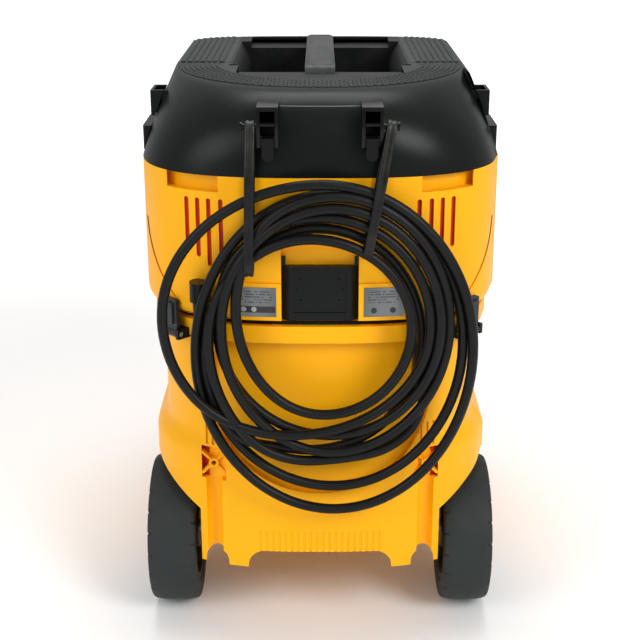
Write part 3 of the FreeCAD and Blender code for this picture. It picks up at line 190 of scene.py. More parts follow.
def makeGrainGroup():
    # Moulded grain: a fine noise for the skin and a broad one for uneven gloss.
    group, given, result = startGroup(
        "mouldedGrain",
        [("Vector", "NodeSocketVector", None), ("Scale", "NodeSocketFloat", 900.0)],
        [("Grain", "NodeSocketFloat"), ("Broad", "NodeSocketFloat")],
    )
    fine = addNode(group, "ShaderNodeTexNoise", None, {
        "Vector": given.outputs["Vector"], "Scale": given.outputs["Scale"], "Detail": 3.0, "Roughness": 0.6})
    broad = addNode(group, "ShaderNodeTexNoise", None, {
        "Vector": given.outputs["Vector"], "Scale": 7.0, "Detail": 4.0, "Roughness": 0.55})
    group.links.new(fine.outputs["Fac"], result.inputs["Grain"])
    group.links.new(broad.outputs["Fac"], result.inputs["Broad"])
    return group


dust = {"everywhere": 0.4, "lookingUp": 0.6, "threshold": 0.42, "contrast": 3.0}
scuff = {"threshold": 0.66, "contrast": 6.0, "stretch": 9.0, "turn": (0.5, 0.3, 0.7)}


def makeDustGroup():
    # Dust: broken noise patches, stronger on faces that look up.
    group, given, result = startGroup(
        "settledDust",
        [("Vector", "NodeSocketVector", None), ("Amount", "NodeSocketFloat", 0.2)],
        [("Mask", "NodeSocketFloat")],
    )
    normal = addNode(group, "ShaderNodeNewGeometry")
    up = addNode(group, "ShaderNodeSeparateXYZ", None, {0: normal.outputs["Normal"]})
    lifted = math2(group, "MULTIPLY", math2(group, "MAXIMUM", up.outputs[2], 0.0), dust["lookingUp"])
    patch = addNode(group, "ShaderNodeTexNoise", None, {
        "Vector": given.outputs["Vector"], "Scale": 38.0, "Detail": 6.0, "Roughness": 0.7})
    broken = math2(group, "SUBTRACT", patch.outputs["Fac"], dust["threshold"], True)
    both = math2(group, "MULTIPLY", math2(group, "ADD", lifted, dust["everywhere"]),
                 math2(group, "MULTIPLY", broken, dust["contrast"]))
    group.links.new(math2(group, "MULTIPLY", both, given.outputs["Amount"], True), result.inputs["Mask"])
    return group


def makeScuffGroup():
    # Handling scuffs: noise stretched along one direction and cut to thin marks.
    group, given, result = startGroup(
        "handlingScuffs",
        [("Vector", "NodeSocketVector", None), ("Scale", "NodeSocketFloat", 30.0)],
        [("Mask", "NodeSocketFloat")],
    )
    turned = addNode(group, "ShaderNodeMapping", None, {"Vector": given.outputs["Vector"]})
    turned.inputs["Rotation"].default_value = scuff["turn"]
    turned.inputs["Scale"].default_value = (1.0, 1.0, scuff["stretch"])
    streak = addNode(group, "ShaderNodeTexNoise", None, {
        "Vector": turned.outputs[0], "Scale": given.outputs["Scale"], "Detail": 5.0, "Roughness": 0.75})
    above = math2(group, "SUBTRACT", streak.outputs["Fac"], scuff["threshold"], True)
    thin = math2(group, "MULTIPLY", above, scuff["contrast"], True)
    group.links.new(thin, result.inputs["Mask"])
    return group


grainGroup = makeGrainGroup()
dustGroup = makeDustGroup()
scuffGroup = makeScuffGroup()


def useGroup(tree, group, **inputs):
    return addNode(tree, "ShaderNodeGroup", {"node_tree": group}, inputs)


def startMaterial(name):
    material = bpy.data.materials.new(name)
    material.use_nodes = True
    tree = material.node_tree
    place = addNode(tree, "ShaderNodeTexCoord").outputs["Object"]
    return material, tree, tree.nodes["Principled BSDF"], place


wear = {
    "dustColour": screenColour(150, 145, 135),
    "scuffScale": 30.0,
    "scuffDull": 0.15,
    "scuffDepth": -0.4,
    "glossSpread": 0.12,
    "bumpDistance": 0.0004,
    "refraction": 1.47,
}


def plastic(name, look):
    material, tree, shader, place = startMaterial(name)
    grain = useGroup(tree, grainGroup, Vector=place, Scale=look.get("grain", 900.0))
    dusty = useGroup(tree, dustGroup, Vector=place, Amount=look.get("dust", 0.15))
    scuffed = useGroup(tree, scuffGroup, Vector=place, Scale=wear["scuffScale"])
    toned = mixColour(tree, grain.outputs["Broad"], look["colour"], look["deep"])
    dusted = mixColour(tree, dusty.outputs["Mask"], toned, wear["dustColour"])
    tree.links.new(dusted, shader.inputs["Base Color"])
    gloss = math2(tree, "ADD", math2(tree, "MULTIPLY", grain.outputs["Broad"], wear["glossSpread"]),
                  look["roughness"] - wear["glossSpread"] / 2)
    dull = math2(tree, "MULTIPLY", scuffed.outputs["Mask"], wear["scuffDull"])
    tree.links.new(math2(tree, "ADD", gloss, dull, True), shader.inputs["Roughness"])
    scratch = math2(tree, "MULTIPLY", scuffed.outputs["Mask"], wear["scuffDepth"])
    bump = addNode(tree, "ShaderNodeBump", None, {
        "Strength": look.get("bump", 0.12), "Distance": wear["bumpDistance"],
        "Height": math2(tree, "ADD", grain.outputs["Grain"], scratch)})
    tree.links.new(bump.outputs[0], shader.inputs["Normal"])
    shader.inputs["IOR"].default_value = wear["refraction"]
    shader.inputs["Specular IOR Level"].default_value = look.get("shine", 0.3)
    shader.inputs["Metallic"].default_value = look.get("metallic", 0.0)
    return material


looks = {
    "yellowShell": {"colour": screenColour(253, 179, 3), "deep": screenColour(249, 172, 2),
                    "roughness": 0.4, "grain": 700.0, "bump": 0.05, "dust": 0.04, "shine": 0.2},
    # painted shade: dark red-orange for the inside of the cooling slots
    "slotShadeRed": {"colour": screenColour(214, 72, 30), "deep": screenColour(196, 60, 24), "roughness": 0.5},
    "hoodBlack": {"colour": screenColour(15, 18, 18), "deep": screenColour(11, 13, 13),
                  "roughness": 0.33, "grain": 1100.0, "bump": 0.16, "dust": 0.01, "shine": 0.18},
    "ridgeBlack": {"colour": screenColour(38, 41, 42), "deep": screenColour(30, 33, 34),
                   "roughness": 0.5, "grain": 1100.0, "bump": 0.25, "dust": 0.03},
    "pocketBlack": {"colour": screenColour(15, 17, 18), "deep": screenColour(11, 12, 13),
                    "roughness": 0.45, "grain": 900.0, "bump": 0.2, "dust": 0.06, "shine": 0.22},
    "handleGrey": {"colour": screenColour(46, 48, 50), "deep": screenColour(38, 40, 42),
                   "roughness": 0.42, "grain": 800.0, "bump": 0.3},
    "glossBlack": {"colour": screenColour(9, 10, 11), "deep": screenColour(6, 7, 8),
                   "roughness": 0.16, "grain": 600.0, "bump": 0.04, "dust": 0.0, "shine": 0.25},
    "bracketBlack": {"colour": screenColour(11, 13, 14), "deep": screenColour(8, 9, 10),
                     "roughness": 0.32, "grain": 900.0, "bump": 0.1, "dust": 0.01, "shine": 0.2},
    "tyreRubber": {"colour": screenColour(48, 53, 53), "deep": screenColour(38, 43, 43),
                   "roughness": 0.6, "grain": 500.0, "bump": 0.25, "dust": 0.03, "shine": 0.22},
    "rimBlack": {"colour": screenColour(34, 36, 38), "deep": screenColour(28, 30, 32), "roughness": 0.45},
    "softBlack": {"colour": screenColour(26, 27, 28), "deep": screenColour(20, 21, 22),
                  "roughness": 0.75, "grain": 400.0, "bump": 0.3},
    "cordRubber": {"colour": screenColour(16, 18, 17), "deep": screenColour(9, 10, 9),
                   "roughness": 0.42, "grain": 1300.0, "bump": 0.15, "dust": 0.01, "shine": 0.22},
    "strapRubber": {"colour": screenColour(14, 15, 15), "deep": screenColour(9, 10, 10),
                    "roughness": 0.35, "grain": 1000.0, "bump": 0.15, "shine": 0.25},
    "zincSteel": {"colour": screenColour(176, 178, 180), "deep": screenColour(150, 152, 155),
                  "roughness": 0.32, "metallic": 1.0, "grain": 500.0, "bump": 0.1},
    "darkSteel": {"colour": screenColour(120, 122, 126), "deep": screenColour(96, 98, 102),
                  "roughness": 0.38, "metallic": 1.0, "grain": 500.0, "bump": 0.1},
    "leverBlack": {"colour": screenColour(40, 43, 50), "deep": screenColour(32, 35, 41),
                   "roughness": 0.42, "grain": 700.0, "bump": 0.15},
    "casterGrey": {"colour": screenColour(72, 74, 76), "deep": screenColour(60, 62, 64),
                   "roughness": 0.6, "dust": 0.1},
    "floatWhite": {"colour": screenColour(228, 226, 220), "deep": screenColour(214, 212, 206),
                   "roughness": 0.5, "dust": 0.05},
    "motorGrey": {"colour": screenColour(60, 62, 66), "deep": screenColour(50, 52, 56), "roughness": 0.5},
    "fanCream": {"colour": screenColour(196, 192, 180), "deep": screenColour(180, 176, 164), "roughness": 0.5},
    "boardGreen": {"colour": screenColour(28, 92, 52), "deep": screenColour(22, 76, 44), "roughness": 0.35},
    "yellowKnob": {"colour": screenColour(252, 172, 2), "deep": screenColour(244, 162, 1),
                   "roughness": 0.4, "bump": 0.08, "shine": 0.2},
}
materials = {name: plastic(name, look) for name, look in looks.items()}


def inBox(tree, place, low, high):
    # 1 inside a box that is mirrored across x = 0, with limits in millimetres, else 0.
    parts = addNode(tree, "ShaderNodeSeparateXYZ", None, {0: place})
    values = (math2(tree, "ABSOLUTE", parts.outputs[0]), parts.outputs[1], parts.outputs[2])
    mask = 1.0
    for value, start, stop in zip(values, low, high):
        above = math2(tree, "GREATER_THAN", value, start * mm)
        below = math2(tree, "LESS_THAN", value, stop * mm)
        mask = math2(tree, "MULTIPLY", mask, math2(tree, "MULTIPLY", above, below))
    return mask


def overlay(name, mask, colour):
    # Lays a second colour over a finished material where the mask is 1.
    tree = materials[name].node_tree
    shader = tree.nodes["Principled BSDF"]
    before = shader.inputs["Base Color"].links[0].from_socket
    tree.links.new(mixColour(tree, mask(tree), before, colour), shader.inputs["Base Color"])


def objectPlace(tree):
    return next(node for node in tree.nodes if node.bl_idname == "ShaderNodeTexCoord").outputs["Object"]


marks = {
    # painted shade: a dark red laid on the floor of the two handle sockets
    "socketFloorShade": ((97.0, -236.2, 180.0), (125.0, -200.0, 219.0)),      # floor of the two handle sockets
    # painted highlight: a fine pale line where the hood's rear slope turns
    "paintedHighlightLine": ((0.0, -290.0, 573.8), (38.0, -150.0, 574.8)),      # fine pale line across the rear of the hood
}
paper = {"pleats": 70.0, "bump": 0.8, "depth": 0.003, "roughness": 0.85}
plate = {"inner": 43.0, "width": 40.0, "bottom": 370.0, "tall": 30.0, "lines": 11.0, "dashes": 26.0}


def makeFilterPaper():
    # Pleated paper: a sine of the angle round the filter's own middle.
    material, tree, shader, place = startMaterial("filterPaper")
    low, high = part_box("filter_left")
    parts = addNode(tree, "ShaderNodeSeparateXYZ", None, {0: place})
    side = math2(tree, "ABSOLUTE", parts.outputs[0])
    middle = (low + high) / 2
    angle = math2(tree, "ARCTAN2", math2(tree, "SUBTRACT", side, abs(middle.x)),
                  math2(tree, "SUBTRACT", parts.outputs[1], middle.y))
    pleat = math2(tree, "SINE", math2(tree, "MULTIPLY", angle, paper["pleats"]))
    share = math2(tree, "ADD", math2(tree, "MULTIPLY", pleat, 0.5), 0.5)
    tree.links.new(mixColour(tree, share, screenColour(206, 200, 184), screenColour(232, 228, 216)),
                   shader.inputs["Base Color"])
    bump = addNode(tree, "ShaderNodeBump", None, {
        "Strength": paper["bump"], "Distance": paper["depth"], "Height": share})
    tree.links.new(bump.outputs[0], shader.inputs["Normal"])
    shader.inputs["Roughness"].default_value = paper["roughness"]
    return material


def makeLabelFilm():
    # Metallic film with generic marks: u runs outwards across a plate and v up it, each from 0 to 1.
    material, tree, shader, place = startMaterial("labelFilm")
    parts = addNode(tree, "ShaderNodeSeparateXYZ", None, {0: place})
    inner, width, bottom, tall = (plate[key] * mm for key in ("inner", "width", "bottom", "tall"))
    u = math2(tree, "DIVIDE", math2(tree, "SUBTRACT", math2(tree, "ABSOLUTE", parts.outputs[0]), inner), width)
    v = math2(tree, "DIVIDE", math2(tree, "SUBTRACT", parts.outputs[2], bottom), tall)
    left = math2(tree, "LESS_THAN", parts.outputs[0], 0.0)

    def between(value, start, stop):
        return math2(tree, "MULTIPLY", math2(tree, "GREATER_THAN", value, start),
                     math2(tree, "LESS_THAN", value, stop))

    def both(a, b):
        return math2(tree, "MULTIPLY", a, b)

    def spot(centreU, centreV, radius):
        du = math2(tree, "MULTIPLY", math2(tree, "SUBTRACT", u, centreU), width / tall)
        dv = math2(tree, "SUBTRACT", v, centreV)
        far = math2(tree, "SQRT", math2(tree, "ADD", math2(tree, "MULTIPLY", du, du),
                                        math2(tree, "MULTIPLY", dv, dv)))
        return math2(tree, "LESS_THAN", far, radius)

    along = math2(tree, "MULTIPLY", v, plate["lines"])
    row, rowNumber = math2(tree, "FRACT", along), math2(tree, "FLOOR", along)
    dash = addNode(tree, "ShaderNodeTexWhiteNoise", {"noise_dimensions": "2D"}, {
        "Vector": addNode(tree, "ShaderNodeCombineXYZ", None, {
            0: math2(tree, "FLOOR", math2(tree, "MULTIPLY", u, plate["dashes"])), 1: rowNumber}).outputs[0]})
    inked = both(math2(tree, "GREATER_THAN", dash.outputs["Value"], 0.42), between(row, 0.3, 0.62))
    lines = both(both(inked, between(u, 0.1, 0.86)), between(v, 0.42, 0.93))
    band = both(both(left, between(v, 0.14, 0.36)), between(u, 0.02, 0.98))
    marksLeft = both(left, math2(tree, "MAXIMUM", spot(0.55, 0.25, 0.085), spot(0.8, 0.25, 0.085)))
    right = math2(tree, "SUBTRACT", 1.0, left)
    marksRight = both(right, math2(tree, "MAXIMUM", spot(0.25, 0.22, 0.1), spot(0.72, 0.22, 0.1)))
    ink = math2(tree, "MAXIMUM", lines, math2(tree, "MAXIMUM", band, marksRight))
    # painted reflection: the film's grey is painted darker at its inner edge and lighter at its outer edge
    base = mixColour(tree, u, screenColour(96, 97, 98), screenColour(146, 148, 150))
    drawn = mixColour(tree, math2(tree, "MULTIPLY", ink, 0.85), base, screenColour(18, 18, 18))
    final = mixColour(tree, math2(tree, "MULTIPLY", marksLeft, 0.8), drawn, screenColour(190, 192, 192))
    tree.links.new(final, shader.inputs["Base Color"])
    shader.inputs["Roughness"].default_value = 0.35
    shader.inputs["Metallic"].default_value = 0.35
    return material


# painted shade: the handle sockets' floor is coloured dark red over the yellow
overlay("yellowShell", lambda tree: inBox(tree, objectPlace(tree), *marks["socketFloorShade"]), screenColour(196, 52, 36))
# painted highlight: a pale line laid over the black hood where its rear slope turns
overlay("hoodBlack", lambda tree: inBox(tree, objectPlace(tree), *marks["paintedHighlightLine"]), screenColour(84, 88, 86))
materials["filterPaper"] = makeFilterPaper()
materials["labelFilm"] = makeLabelFilm()

finishes = {
    "yellowShell": ["tank_shell", "motor_housing"],
    "hoodBlack": ["rear_hood", "front_hood", "control_panel", "side_loops", "side_clips", "inlet_port"],
    "pocketBlack": ["pocket_tray", "outlet_socket"],
    "handleGrey": ["carry_handle"],
    "glossBlack": ["cord_hook_left", "cord_hook_right", "outlet_flap"],
    "bracketBlack": ["rear_bracket", "latch_bases", "cord_gland", "plug"],
    "tyreRubber": ["tyre_left", "tyre_right"],
    "rimBlack": ["wheel_rim_left", "wheel_rim_right", "caster_fork_left", "caster_fork_right",
                 "caster_mounts", "inlet_deflector", "filter_deck", "float_cage"],
    "softBlack": ["tank_gasket", "inlet_seal"],
    "cordRubber": ["cord_coil", "power_cord"],
    "strapRubber": ["cord_strap_left", "cord_strap_right"],
    "zincSteel": ["inlet_screws", "rear_axle", "caster_axle_left", "caster_axle_right", "latch_pins",
                  "deck_screws"],
    "darkSteel": ["axle_clips", "rotor_shaft"],
    "leverBlack": ["latch_left", "latch_right"],
    "casterGrey": ["caster_wheel_left", "caster_wheel_right"],
    "floatWhite": ["float_ball", "purge_valve_left", "purge_valve_right"],
    "motorGrey": ["motor_body", "wheel_cap_left", "wheel_cap_right"],
    "fanCream": ["fan_housing", "impeller"],
    "boardGreen": ["control_board"],
    "yellowKnob": ["power_knob", "hose_dial"],
    "filterPaper": ["filter_left", "filter_right"],
    "labelFilm": ["rating_labels"],
}
for finish, members in finishes.items():
    for name in members:
        nodes[name].data.materials.clear()
        nodes[name].data.materials.append(materials[finish])
print("materials on", sum(len(members) for members in finishes.values()), "nodes")

# The largest angle between faces, in degrees, that is shaded smooth on each node's copy
skins = {"rear_hood": 32.0, "front_hood": 32.0, "motor_housing": 26.0, "tank_shell": 26.0, "control_panel": 30.0,
         "carry_handle": 36.0, "pocket_tray": 30.0, "cord_hook_left": 40.0, "cord_hook_right": 40.0}


def makeSkin(node, degrees):
    # The node's own triangles with equal corners merged, shaded smooth up to the given angle between faces.
    source = nodes[node].data
    points = np.empty(3 * len(source.vertices))
    source.vertices.foreach_get("co", points)
    corners = np.empty(len(source.loops), int)
    source.loops.foreach_get("vertex_index", corners)
    merged, place = np.unique(np.round(points.reshape(-1, 3), 6), axis=0, return_inverse=True)
    faces = place.ravel()[corners].reshape(-1, 3)
    whole = (faces[:, 0] != faces[:, 1]) & (faces[:, 1] != faces[:, 2]) & (faces[:, 2] != faces[:, 0])
    piece = makePiece(node + "_skin", merged, faces[whole], source.materials[0], bodyOf[node])
    piece.data.set_sharp_from_angle(angle=math.radians(degrees))
    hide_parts(node)


for node, degrees in skins.items():
    makeSkin(node, degrees)
print("smooth skins made")


# Power cord
cord = {
    "diameter": 10.0 * mm,
    "bevel": 5.2 * mm,      # the flats of the ten-sided section lie a little inside it
    "pointsPerTurn": 24,
    "first": 5,         # running number of the coil's first point, 24 to a turn from the left
    "last": 174,
    "front": -21.5,     # the two layers, from the rear wall
    "back": -9.5,
    "apart": 10.2,
    "relaxSteps": 80,
    "push": 0.22,
    "ease": 0.2,
    "lefts": (-118, -112, -122, -151, -103, -94, -85, -108),
    "bottoms": (229, 189, 164.5, 255, 246, 236, 273, 222),
    "rights": (101, 142, 151, 110, 119, 128, 90, 105),
    "tops": (466, 497, 507, 476, 487, 497, 456, 470),
    "depths": (-12, -12, -10, -10, -10, -10, -10, -10, -10, -15, -15, -20, -21, -21, -21, -21, -10, -12, -20,
               -20, -20, -16, -14, -20, -21, -21, -21, -21, -16, -14, -12, -10),
    "lead": ((-118, 7.5, 350), (-118.6, 6.8, 326), (-114, 1.5, 300), (-104, -6, 274), (-90, -13, 252),
             (-70, -13, 239)),
    "tail": ((50, -14, 227), (72, -10, 234.5), (89.5, -5.5, 247.5), (100.5, -2, 265), (105, 0.2, 285)),
}


def swing(angle, start, values):
    # Half cosine waves from one extreme to the next, one extreme every half turn from the start angle.
    along = (angle - start) / math.pi
    values = np.array(values, float)
    lower = np.clip(np.floor(along).astype(int), 0, len(values) - 2)
    share = np.clip(along - lower, 0.0, 1.0)
    return values[lower] + (values[lower + 1] - values[lower]) * (1.0 - np.cos(math.pi * share)) / 2.0


def coilPoints():
    # Loose turns: across and up are half cosine waves between listed extremes, depth eases from quarter
    # to quarter, and strands nearer than one diameter at the same angle are then pushed apart.
    perTurn = cord["pointsPerTurn"]
    number = np.arange(cord["last"] + 1)
    angle = 2.0 * math.pi * number / perTurn
    across = swing(angle, 0.0, [x for pair in zip(cord["lefts"], cord["rights"]) for x in pair])
    upSteps = [cord["tops"][0]] + [z for pair in zip(cord["bottoms"], cord["tops"]) for z in pair]
    up = swing(angle, -math.pi / 2, upSteps)
    depth = np.interp(angle, np.arange(len(cord["depths"])) * math.pi / 2, cord["depths"])
    points = np.stack([across, depth, up], axis=1)
    gap = number[:, None] - number[None, :]
    neighbours = (gap != 0) & (gap % perTurn == 0)
    moved = np.zeros_like(points)
    for step in range(cord["relaxSteps"]):
        now = points + moved
        way = np.gradient(now, axis=0)
        way /= np.linalg.norm(way, axis=1)[:, None]
        apart = now[:, None, :] - now[None, :, :]
        apart -= (apart * way[:, None, :]).sum(2)[:, :, None] * way[:, None, :]
        distance = np.linalg.norm(apart, axis=2) + 1e-6
        push = np.where(neighbours, np.clip(cord["apart"] - distance, 0.0, None), 0.0) / distance
        moved += cord["push"] * (apart * push[:, :, None]).sum(1)
        moved[1:-1] += cord["ease"] * (moved[:-2] + moved[2:] - 2.0 * moved[1:-1])
        moved[:, 1] = np.clip(points[:, 1] + moved[:, 1], cord["front"], cord["back"]) - points[:, 1]
    return (points + moved)[cord["first"]:]


def makeCord():
    route = np.concatenate([np.array(cord["lead"]), coilPoints(), np.array(cord["tail"])])
    route = (route + (0.0, rearY / mm, 0.0)) * mm
    data = bpy.data.curves.new("power_lead", "CURVE")
    data.dimensions = "3D"
    data.bevel_depth = cord["bevel"]
    data.bevel_resolution = 3
    data.use_fill_caps = True
    spline = data.splines.new("NURBS")
    spline.points.add(len(route) - 1)
    spline.points.foreach_set("co", np.column_stack([route, np.ones(len(route))]).ravel())
    spline.order_u = 3
    spline.use_endpoint_u = True
    spline.resolution_u = 5
    data.materials.append(materials["cordRubber"])
    piece = bpy.data.objects.new("power_lead", data)
    bpy.context.scene.collection.objects.link(piece)
    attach(piece, bodyOf["power_cord"])
    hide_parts("power_cord", "cord_coil")


makeCord()


# Rubber straps that hold the coil
strap = {
    "loop": ((-28.0, 428.0), (-28.0, 514.0), (-14.0, 563.5), (-9.0, 565.0), (-4.2, 563.5), (-2.6, 514.0),
             (-2.6, 428.0), (-8.0, 419.5), (-15.3, 417.6), (-22.6, 419.5)),
    "halfWidth": 4.6,
    "halfThick": 1.9,
    "groove": 0.9,
    "grooveWidth": 1.1,
    "power": 3.5,
    "rings": 150,
    "around": 32,
    "passes": 3,
    "split": 500.0,     # points of the loop below this height move with the strap's lower end
    "low": 420.5,       # height of the lower end in the loop above
    "top": 563.0,       # height of the peg that the strap leans about
}


def makeStrap(name, shift, low, tilt):
    # A grooved band carried round a closed loop: the loop is an evenly spaced polygon whose corners are eased
    # by averaging neighbours, and the section is a superellipse with a bell-shaped dip on its outer face.
    loop = np.array(strap["loop"])
    bottom = loop[:, 1] < strap["split"]
    loop[bottom, 1] += low - strap["low"]
    closed = np.vstack([loop, loop[:1]])
    run = np.concatenate([[0.0], np.cumsum(np.linalg.norm(np.diff(closed, axis=0), axis=1))])
    at = np.linspace(0.0, run[-1], strap["rings"], endpoint=False)
    line = np.column_stack([np.interp(at, run, closed[:, k]) for k in (0, 1)])
    for step in range(strap["passes"]):
        line = (np.roll(line, 1, axis=0) + line + np.roll(line, -1, axis=0)) / 3.0
    way = np.roll(line, -1, axis=0) - np.roll(line, 1, axis=0)
    way /= np.linalg.norm(way, axis=1)[:, None]
    outward = np.column_stack([-way[:, 1], way[:, 0]])
    across, out = roundPower(np.linspace(0.0, 2.0 * math.pi, strap["around"], endpoint=False), strap["power"])
    across = across * strap["halfWidth"]
    dip = strap["groove"] * np.exp(-(across / strap["grooveWidth"]) ** 2) * (out > 0.3)
    out = out * strap["halfThick"] - dip
    x = np.broadcast_to(across, (len(line), len(across)))
    y = line[:, :1] + outward[:, :1] * out
    z = line[:, 1:] + outward[:, 1:] * out
    lean = math.radians(tilt)
    top = strap["top"]
    turnedX = x * math.cos(lean) + (z - top) * math.sin(lean)
    turnedZ = top - x * math.sin(lean) + (z - top) * math.cos(lean)
    points = np.stack([turnedX + shift, y + rearY / mm, turnedZ], axis=-1) * mm
    faces = gridFaces(len(line), len(across), True, True)
    cad = "cord_strap_left" if shift < 0 else "cord_strap_right"
    piece = makePiece(name, points, faces, materials["strapRubber"], bodyOf[cad])
    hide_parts(cad)


makeStrap("strap_band_left", -65.0, 420.5, 1.3)
makeStrap("strap_band_right", 67.2, 436.0, 10.0)
print("cord and straps made")


# Rear tyres
tyre = {
    "inner": 60.0,
    "power": 8.0,
    "crown": 2.2,
    "notches": 21,
    "notchDepth": 2.4,
    "notchWidth": 0.13,
    "narrowing": 0.05,
    "line": 0.7,        # width and depth of the fine line
    "around": 504,
    "section": 72,
}


def makeTyre(name, cad):
    # A ring with a superellipse section. Narrow notches, bell curves of the sine of the angle, cut the two
    # shoulders half a pitch apart, and a fine line runs round the middle of the tread.
    low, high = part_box(cad)
    centreX, centreY, centreZ = (np.array(low) + np.array(high)) / 2
    outer = (high.z - low.z) / 2
    inner = tyre["inner"] * mm
    half = (high.x - low.x) / 2
    turn = np.linspace(0.0, 2.0 * math.pi, tyre["around"], endpoint=False)[:, None]
    c, s = roundPower(np.linspace(0.0, 2.0 * math.pi, tyre["section"], endpoint=False), tyre["power"])
    across = half * c[None, :]
    radius = (outer + inner) / 2 + (outer - inner) / 2 * s[None, :]
    crown = tyre["crown"] * mm * (across / half) ** 2 * (s[None, :] > 0)
    shoulder = np.clip((np.abs(c) - 0.8) / 0.05, 0.0, 1.0)[None, :] * np.clip((s - 0.25) / 0.2, 0.0, 1.0)
    phase = 0.5 * tyre["notches"] * turn + 0.5 * math.pi * (c[None, :] > 0)
    notch = np.exp(-(np.sin(phase) / tyre["notchWidth"]) ** 2)
    line = np.exp(-(across / (tyre["line"] * mm)) ** 2) * (s[None, :] > 0.5)
    radius = radius - crown - tyre["notchDepth"] * mm * notch * shoulder - tyre["line"] * mm * line
    across = across * (1.0 - tyre["narrowing"] * notch * shoulder)
    points = np.stack([np.broadcast_to(centreX + across, radius.shape),
                       centreY + radius * np.sin(turn), centreZ + radius * np.cos(turn)], axis=-1)
    faces = gridFaces(tyre["around"], tyre["section"], True, True)
    piece = makePiece(name, points, faces, materials["tyreRubber"], bodyOf[cad])
    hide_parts(cad)


makeTyre("tread_left", "tyre_left")
makeTyre("tread_right", "tyre_right")
print("tyres made")


# Sheet behind the cooling slots, coloured dark red-orange as painted shade inside them
baffle = {"half": 183.5, "depth": 150.0, "power": 2.9, "inset": 4.6, "inner": 92.0, "outer": 136.0,
          "low": 405.0, "high": 490.0, "columns": 24, "rows": 9}


def makeBaffle():
    # Follows the housing's rear wall from inside: y = depth (1 - (1 - (x / half)^power)^(1 / power)) + inset.
    x, z = np.meshgrid(np.linspace(baffle["inner"], baffle["outer"], baffle["columns"]),
                       np.linspace(baffle["low"], baffle["high"], baffle["rows"]))
    share = (1.0 - (x / baffle["half"]) ** baffle["power"]) ** (1.0 / baffle["power"])
    y = rearY / mm + baffle["depth"] * (1.0 - share) + baffle["inset"]
    faces = gridFaces(*x.shape)
    for name, side in (("vent_baffle_left", -1), ("vent_baffle_right", 1)):
        points = np.stack([side * x, y, z], axis=-1) * mm
        turned = faces if side > 0 else faces[:, ::-1]
        # painted shade: the sheet seen through the slots is dark red-orange
        makePiece(name, points, turned, materials["slotShadeRed"], bodyOf["motor_housing"])


makeBaffle()


# Raised pattern on the hood
brick = {
    "rows": 8,
    "rowStep": 5.6,
    "edge": 5.0,        # outermost row inside the rim
    "pitch": 8.6,
    "length": 7.2,
    "width": 4.4,
    "height": 1.3,
    "rimHalf": 155.0,
    "rimSet": 47.0,
    "rimFull": 215.0,
    "rimPower": 2.12,
    "samples": 721,
}
ridge = {"count": 7, "first": 107.5, "step": 6.9, "width": 5.2, "height": 1.3, "start": 220.5, "clear": 5.0,
         "front": 182.0, "corner": 60.0, "power": 2.9}


barTaper = 3.0      # the run over which a bar's top is shortened, in full


def barBlocks(places, ways, lengths, width, height):
    # Each bar is three stacked rectangles: a sunk foot, full-width shoulders and a smaller top.
    sides = np.stack([-ways[:, 1], ways[:, 0]], axis=1)
    corner = np.array([(-1, -1), (1, -1), (1, 1), (-1, 1)], float)
    layers = ((1.0, 1.0, -0.5), (1.0, 1.0, 0.45 * height), (0.86, 0.62, height))
    rings = []
    for longShare, wideShare, z in layers:
        offset = (corner[None, :, :1] * (lengths[:, None, None] / 2 - (1 - longShare) * barTaper) * ways[:, None, :]
                  + corner[None, :, 1:] * (wideShare * width / 2) * sides[:, None, :])
        flat = places[:, None, :2] + offset
        rings.append(np.concatenate([flat, places[:, None, 2:] + np.full(flat.shape[:2] + (1,), z)], axis=2))
    points = np.concatenate(rings, axis=1)
    base = [(3, 2, 1, 0), (8, 9, 10, 11)]
    for level in (0, 4):
        for k in range(4):
            base.append((level + k, level + (k + 1) % 4, level + 4 + (k + 1) % 4, level + 4 + k))
    faces = (np.arange(len(points))[:, None, None] * 12 + np.array(base)[None]).reshape(-1, 4)
    return points, faces


def makeBricks():
    # Rows follow the rim's superellipse, each drawn in by the same step, with bars at equal arc lengths
    # and every second row moved by half a pitch.
    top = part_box("rear_hood")[1].z / mm
    places, ways = [], []
    for row in range(brick["rows"]):
        inset = brick["edge"] + brick["rowStep"] * row
        c, s = roundPower(np.linspace(0.0, math.pi, brick["samples"]), brick["rimPower"])
        x = (brick["rimHalf"] - inset) * c
        y = brick["rimFull"] - (brick["rimFull"] - brick["rimSet"] - inset) * s
        run = np.concatenate([[0.0], np.cumsum(np.hypot(np.diff(x), np.diff(y)))])
        count = int((run[-1] - brick["length"]) // brick["pitch"])
        shift = (row % 2) * 0.5 - 0.25
        at = run[-1] / 2 + (np.arange(count) - (count - 1) / 2 + shift) * brick["pitch"]
        px, py = np.interp(at, run, x), np.interp(at, run, y)
        dx = np.interp(at + 0.5, run, x) - np.interp(at - 0.5, run, x)
        dy = np.interp(at + 0.5, run, y) - np.interp(at - 0.5, run, y)
        size = np.hypot(dx, dy)
        places.append(np.column_stack([px, py + rearY / mm, np.full(count, top)]))
        ways.append(np.column_stack([dx / size, dy / size]))
    places, ways = np.concatenate(places), np.concatenate(ways)
    points, faces = barBlocks(places, ways, np.full(len(places), brick["length"]), brick["width"],
                              brick["height"])
    makePiece("hood_bricks", points * mm, faces, materials["ridgeBlack"], bodyOf["rear_hood"], False)


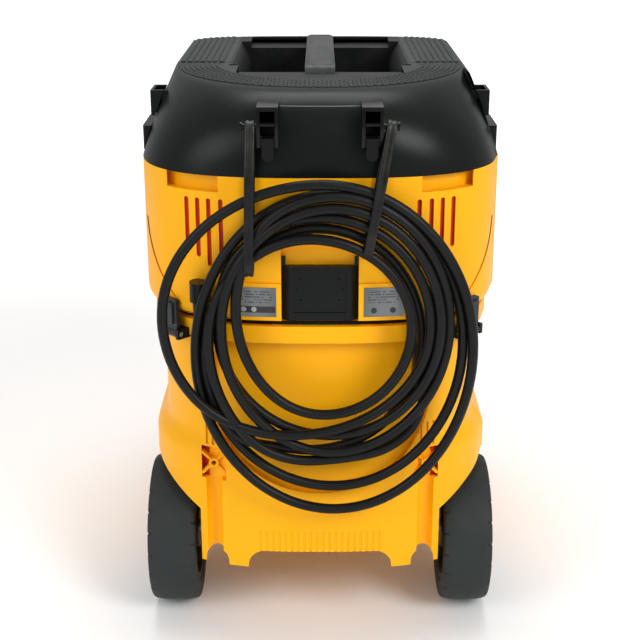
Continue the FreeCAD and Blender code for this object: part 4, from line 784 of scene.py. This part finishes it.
def makeRidges():
    # Straight fore-and-aft bars beside the pocket, each ending short of the rim's superellipse corner.
    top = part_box("front_hood")[1].z / mm
    x = ridge["first"] + ridge["step"] * np.arange(ridge["count"])
    start = ridge["start"] + rearY / mm
    share = (1.0 - (x / brick["rimHalf"]) ** ridge["power"]) ** (1.0 / ridge["power"])
    stop = ridge["front"] - ridge["corner"] * (1.0 - share) - ridge["clear"]
    x, stop = np.concatenate([x, -x]), np.concatenate([stop, stop])
    places = np.column_stack([x, (start + stop) / 2, np.full(len(x), top)])
    ways = np.tile((0.0, 1.0), (len(x), 1))
    points, faces = barBlocks(places, ways, stop - start, ridge["width"], ridge["height"])
    makePiece("hood_ridges", points * mm, faces, materials["ridgeBlack"], bodyOf["front_hood"], False)


makeBricks()
makeRidges()
print("hood pattern made")


# Floor
def makeFloor():
    # A flat square sheet. Far from the object it glows for the camera, so that it meets the white background.
    half = room["half"]
    x, y = np.meshgrid((-half, half), (-half, half))
    points = np.stack([x, y, np.zeros_like(x)], axis=-1)
    mesh = bpy.data.meshes.new("floor")
    faces = gridFaces(2, 2)
    mesh.from_pydata(points.reshape(-1, 3).tolist(), [], faces.tolist())
    material, tree, shader, place = startMaterial("paleFloor")
    shader.inputs["Base Color"].default_value = (*room["floor"], 1.0)
    shader.inputs["Roughness"].default_value = room["roughness"]
    far = addNode(tree, "ShaderNodeVectorMath", {"operation": "LENGTH"}, {0: place}).outputs["Value"]
    share = addNode(tree, "ShaderNodeMapRange", {"interpolation_type": "SMOOTHSTEP"}, {
        "Value": far, "From Min": room["glowNear"], "From Max": room["glowFar"]}).outputs[0]
    seen = addNode(tree, "ShaderNodeLightPath").outputs["Is Camera Ray"]
    shader.inputs["Emission Color"].default_value = (1.0, 1.0, 1.0, 1.0)
    tree.links.new(math2(tree, "MULTIPLY", math2(tree, "MULTIPLY", share, seen), room["glow"]),
                   shader.inputs["Emission Strength"])
    mesh.materials.append(material)
    floor = bpy.data.objects.new("floor", mesh)
    bpy.context.scene.collection.objects.link(floor)


makeFloor()
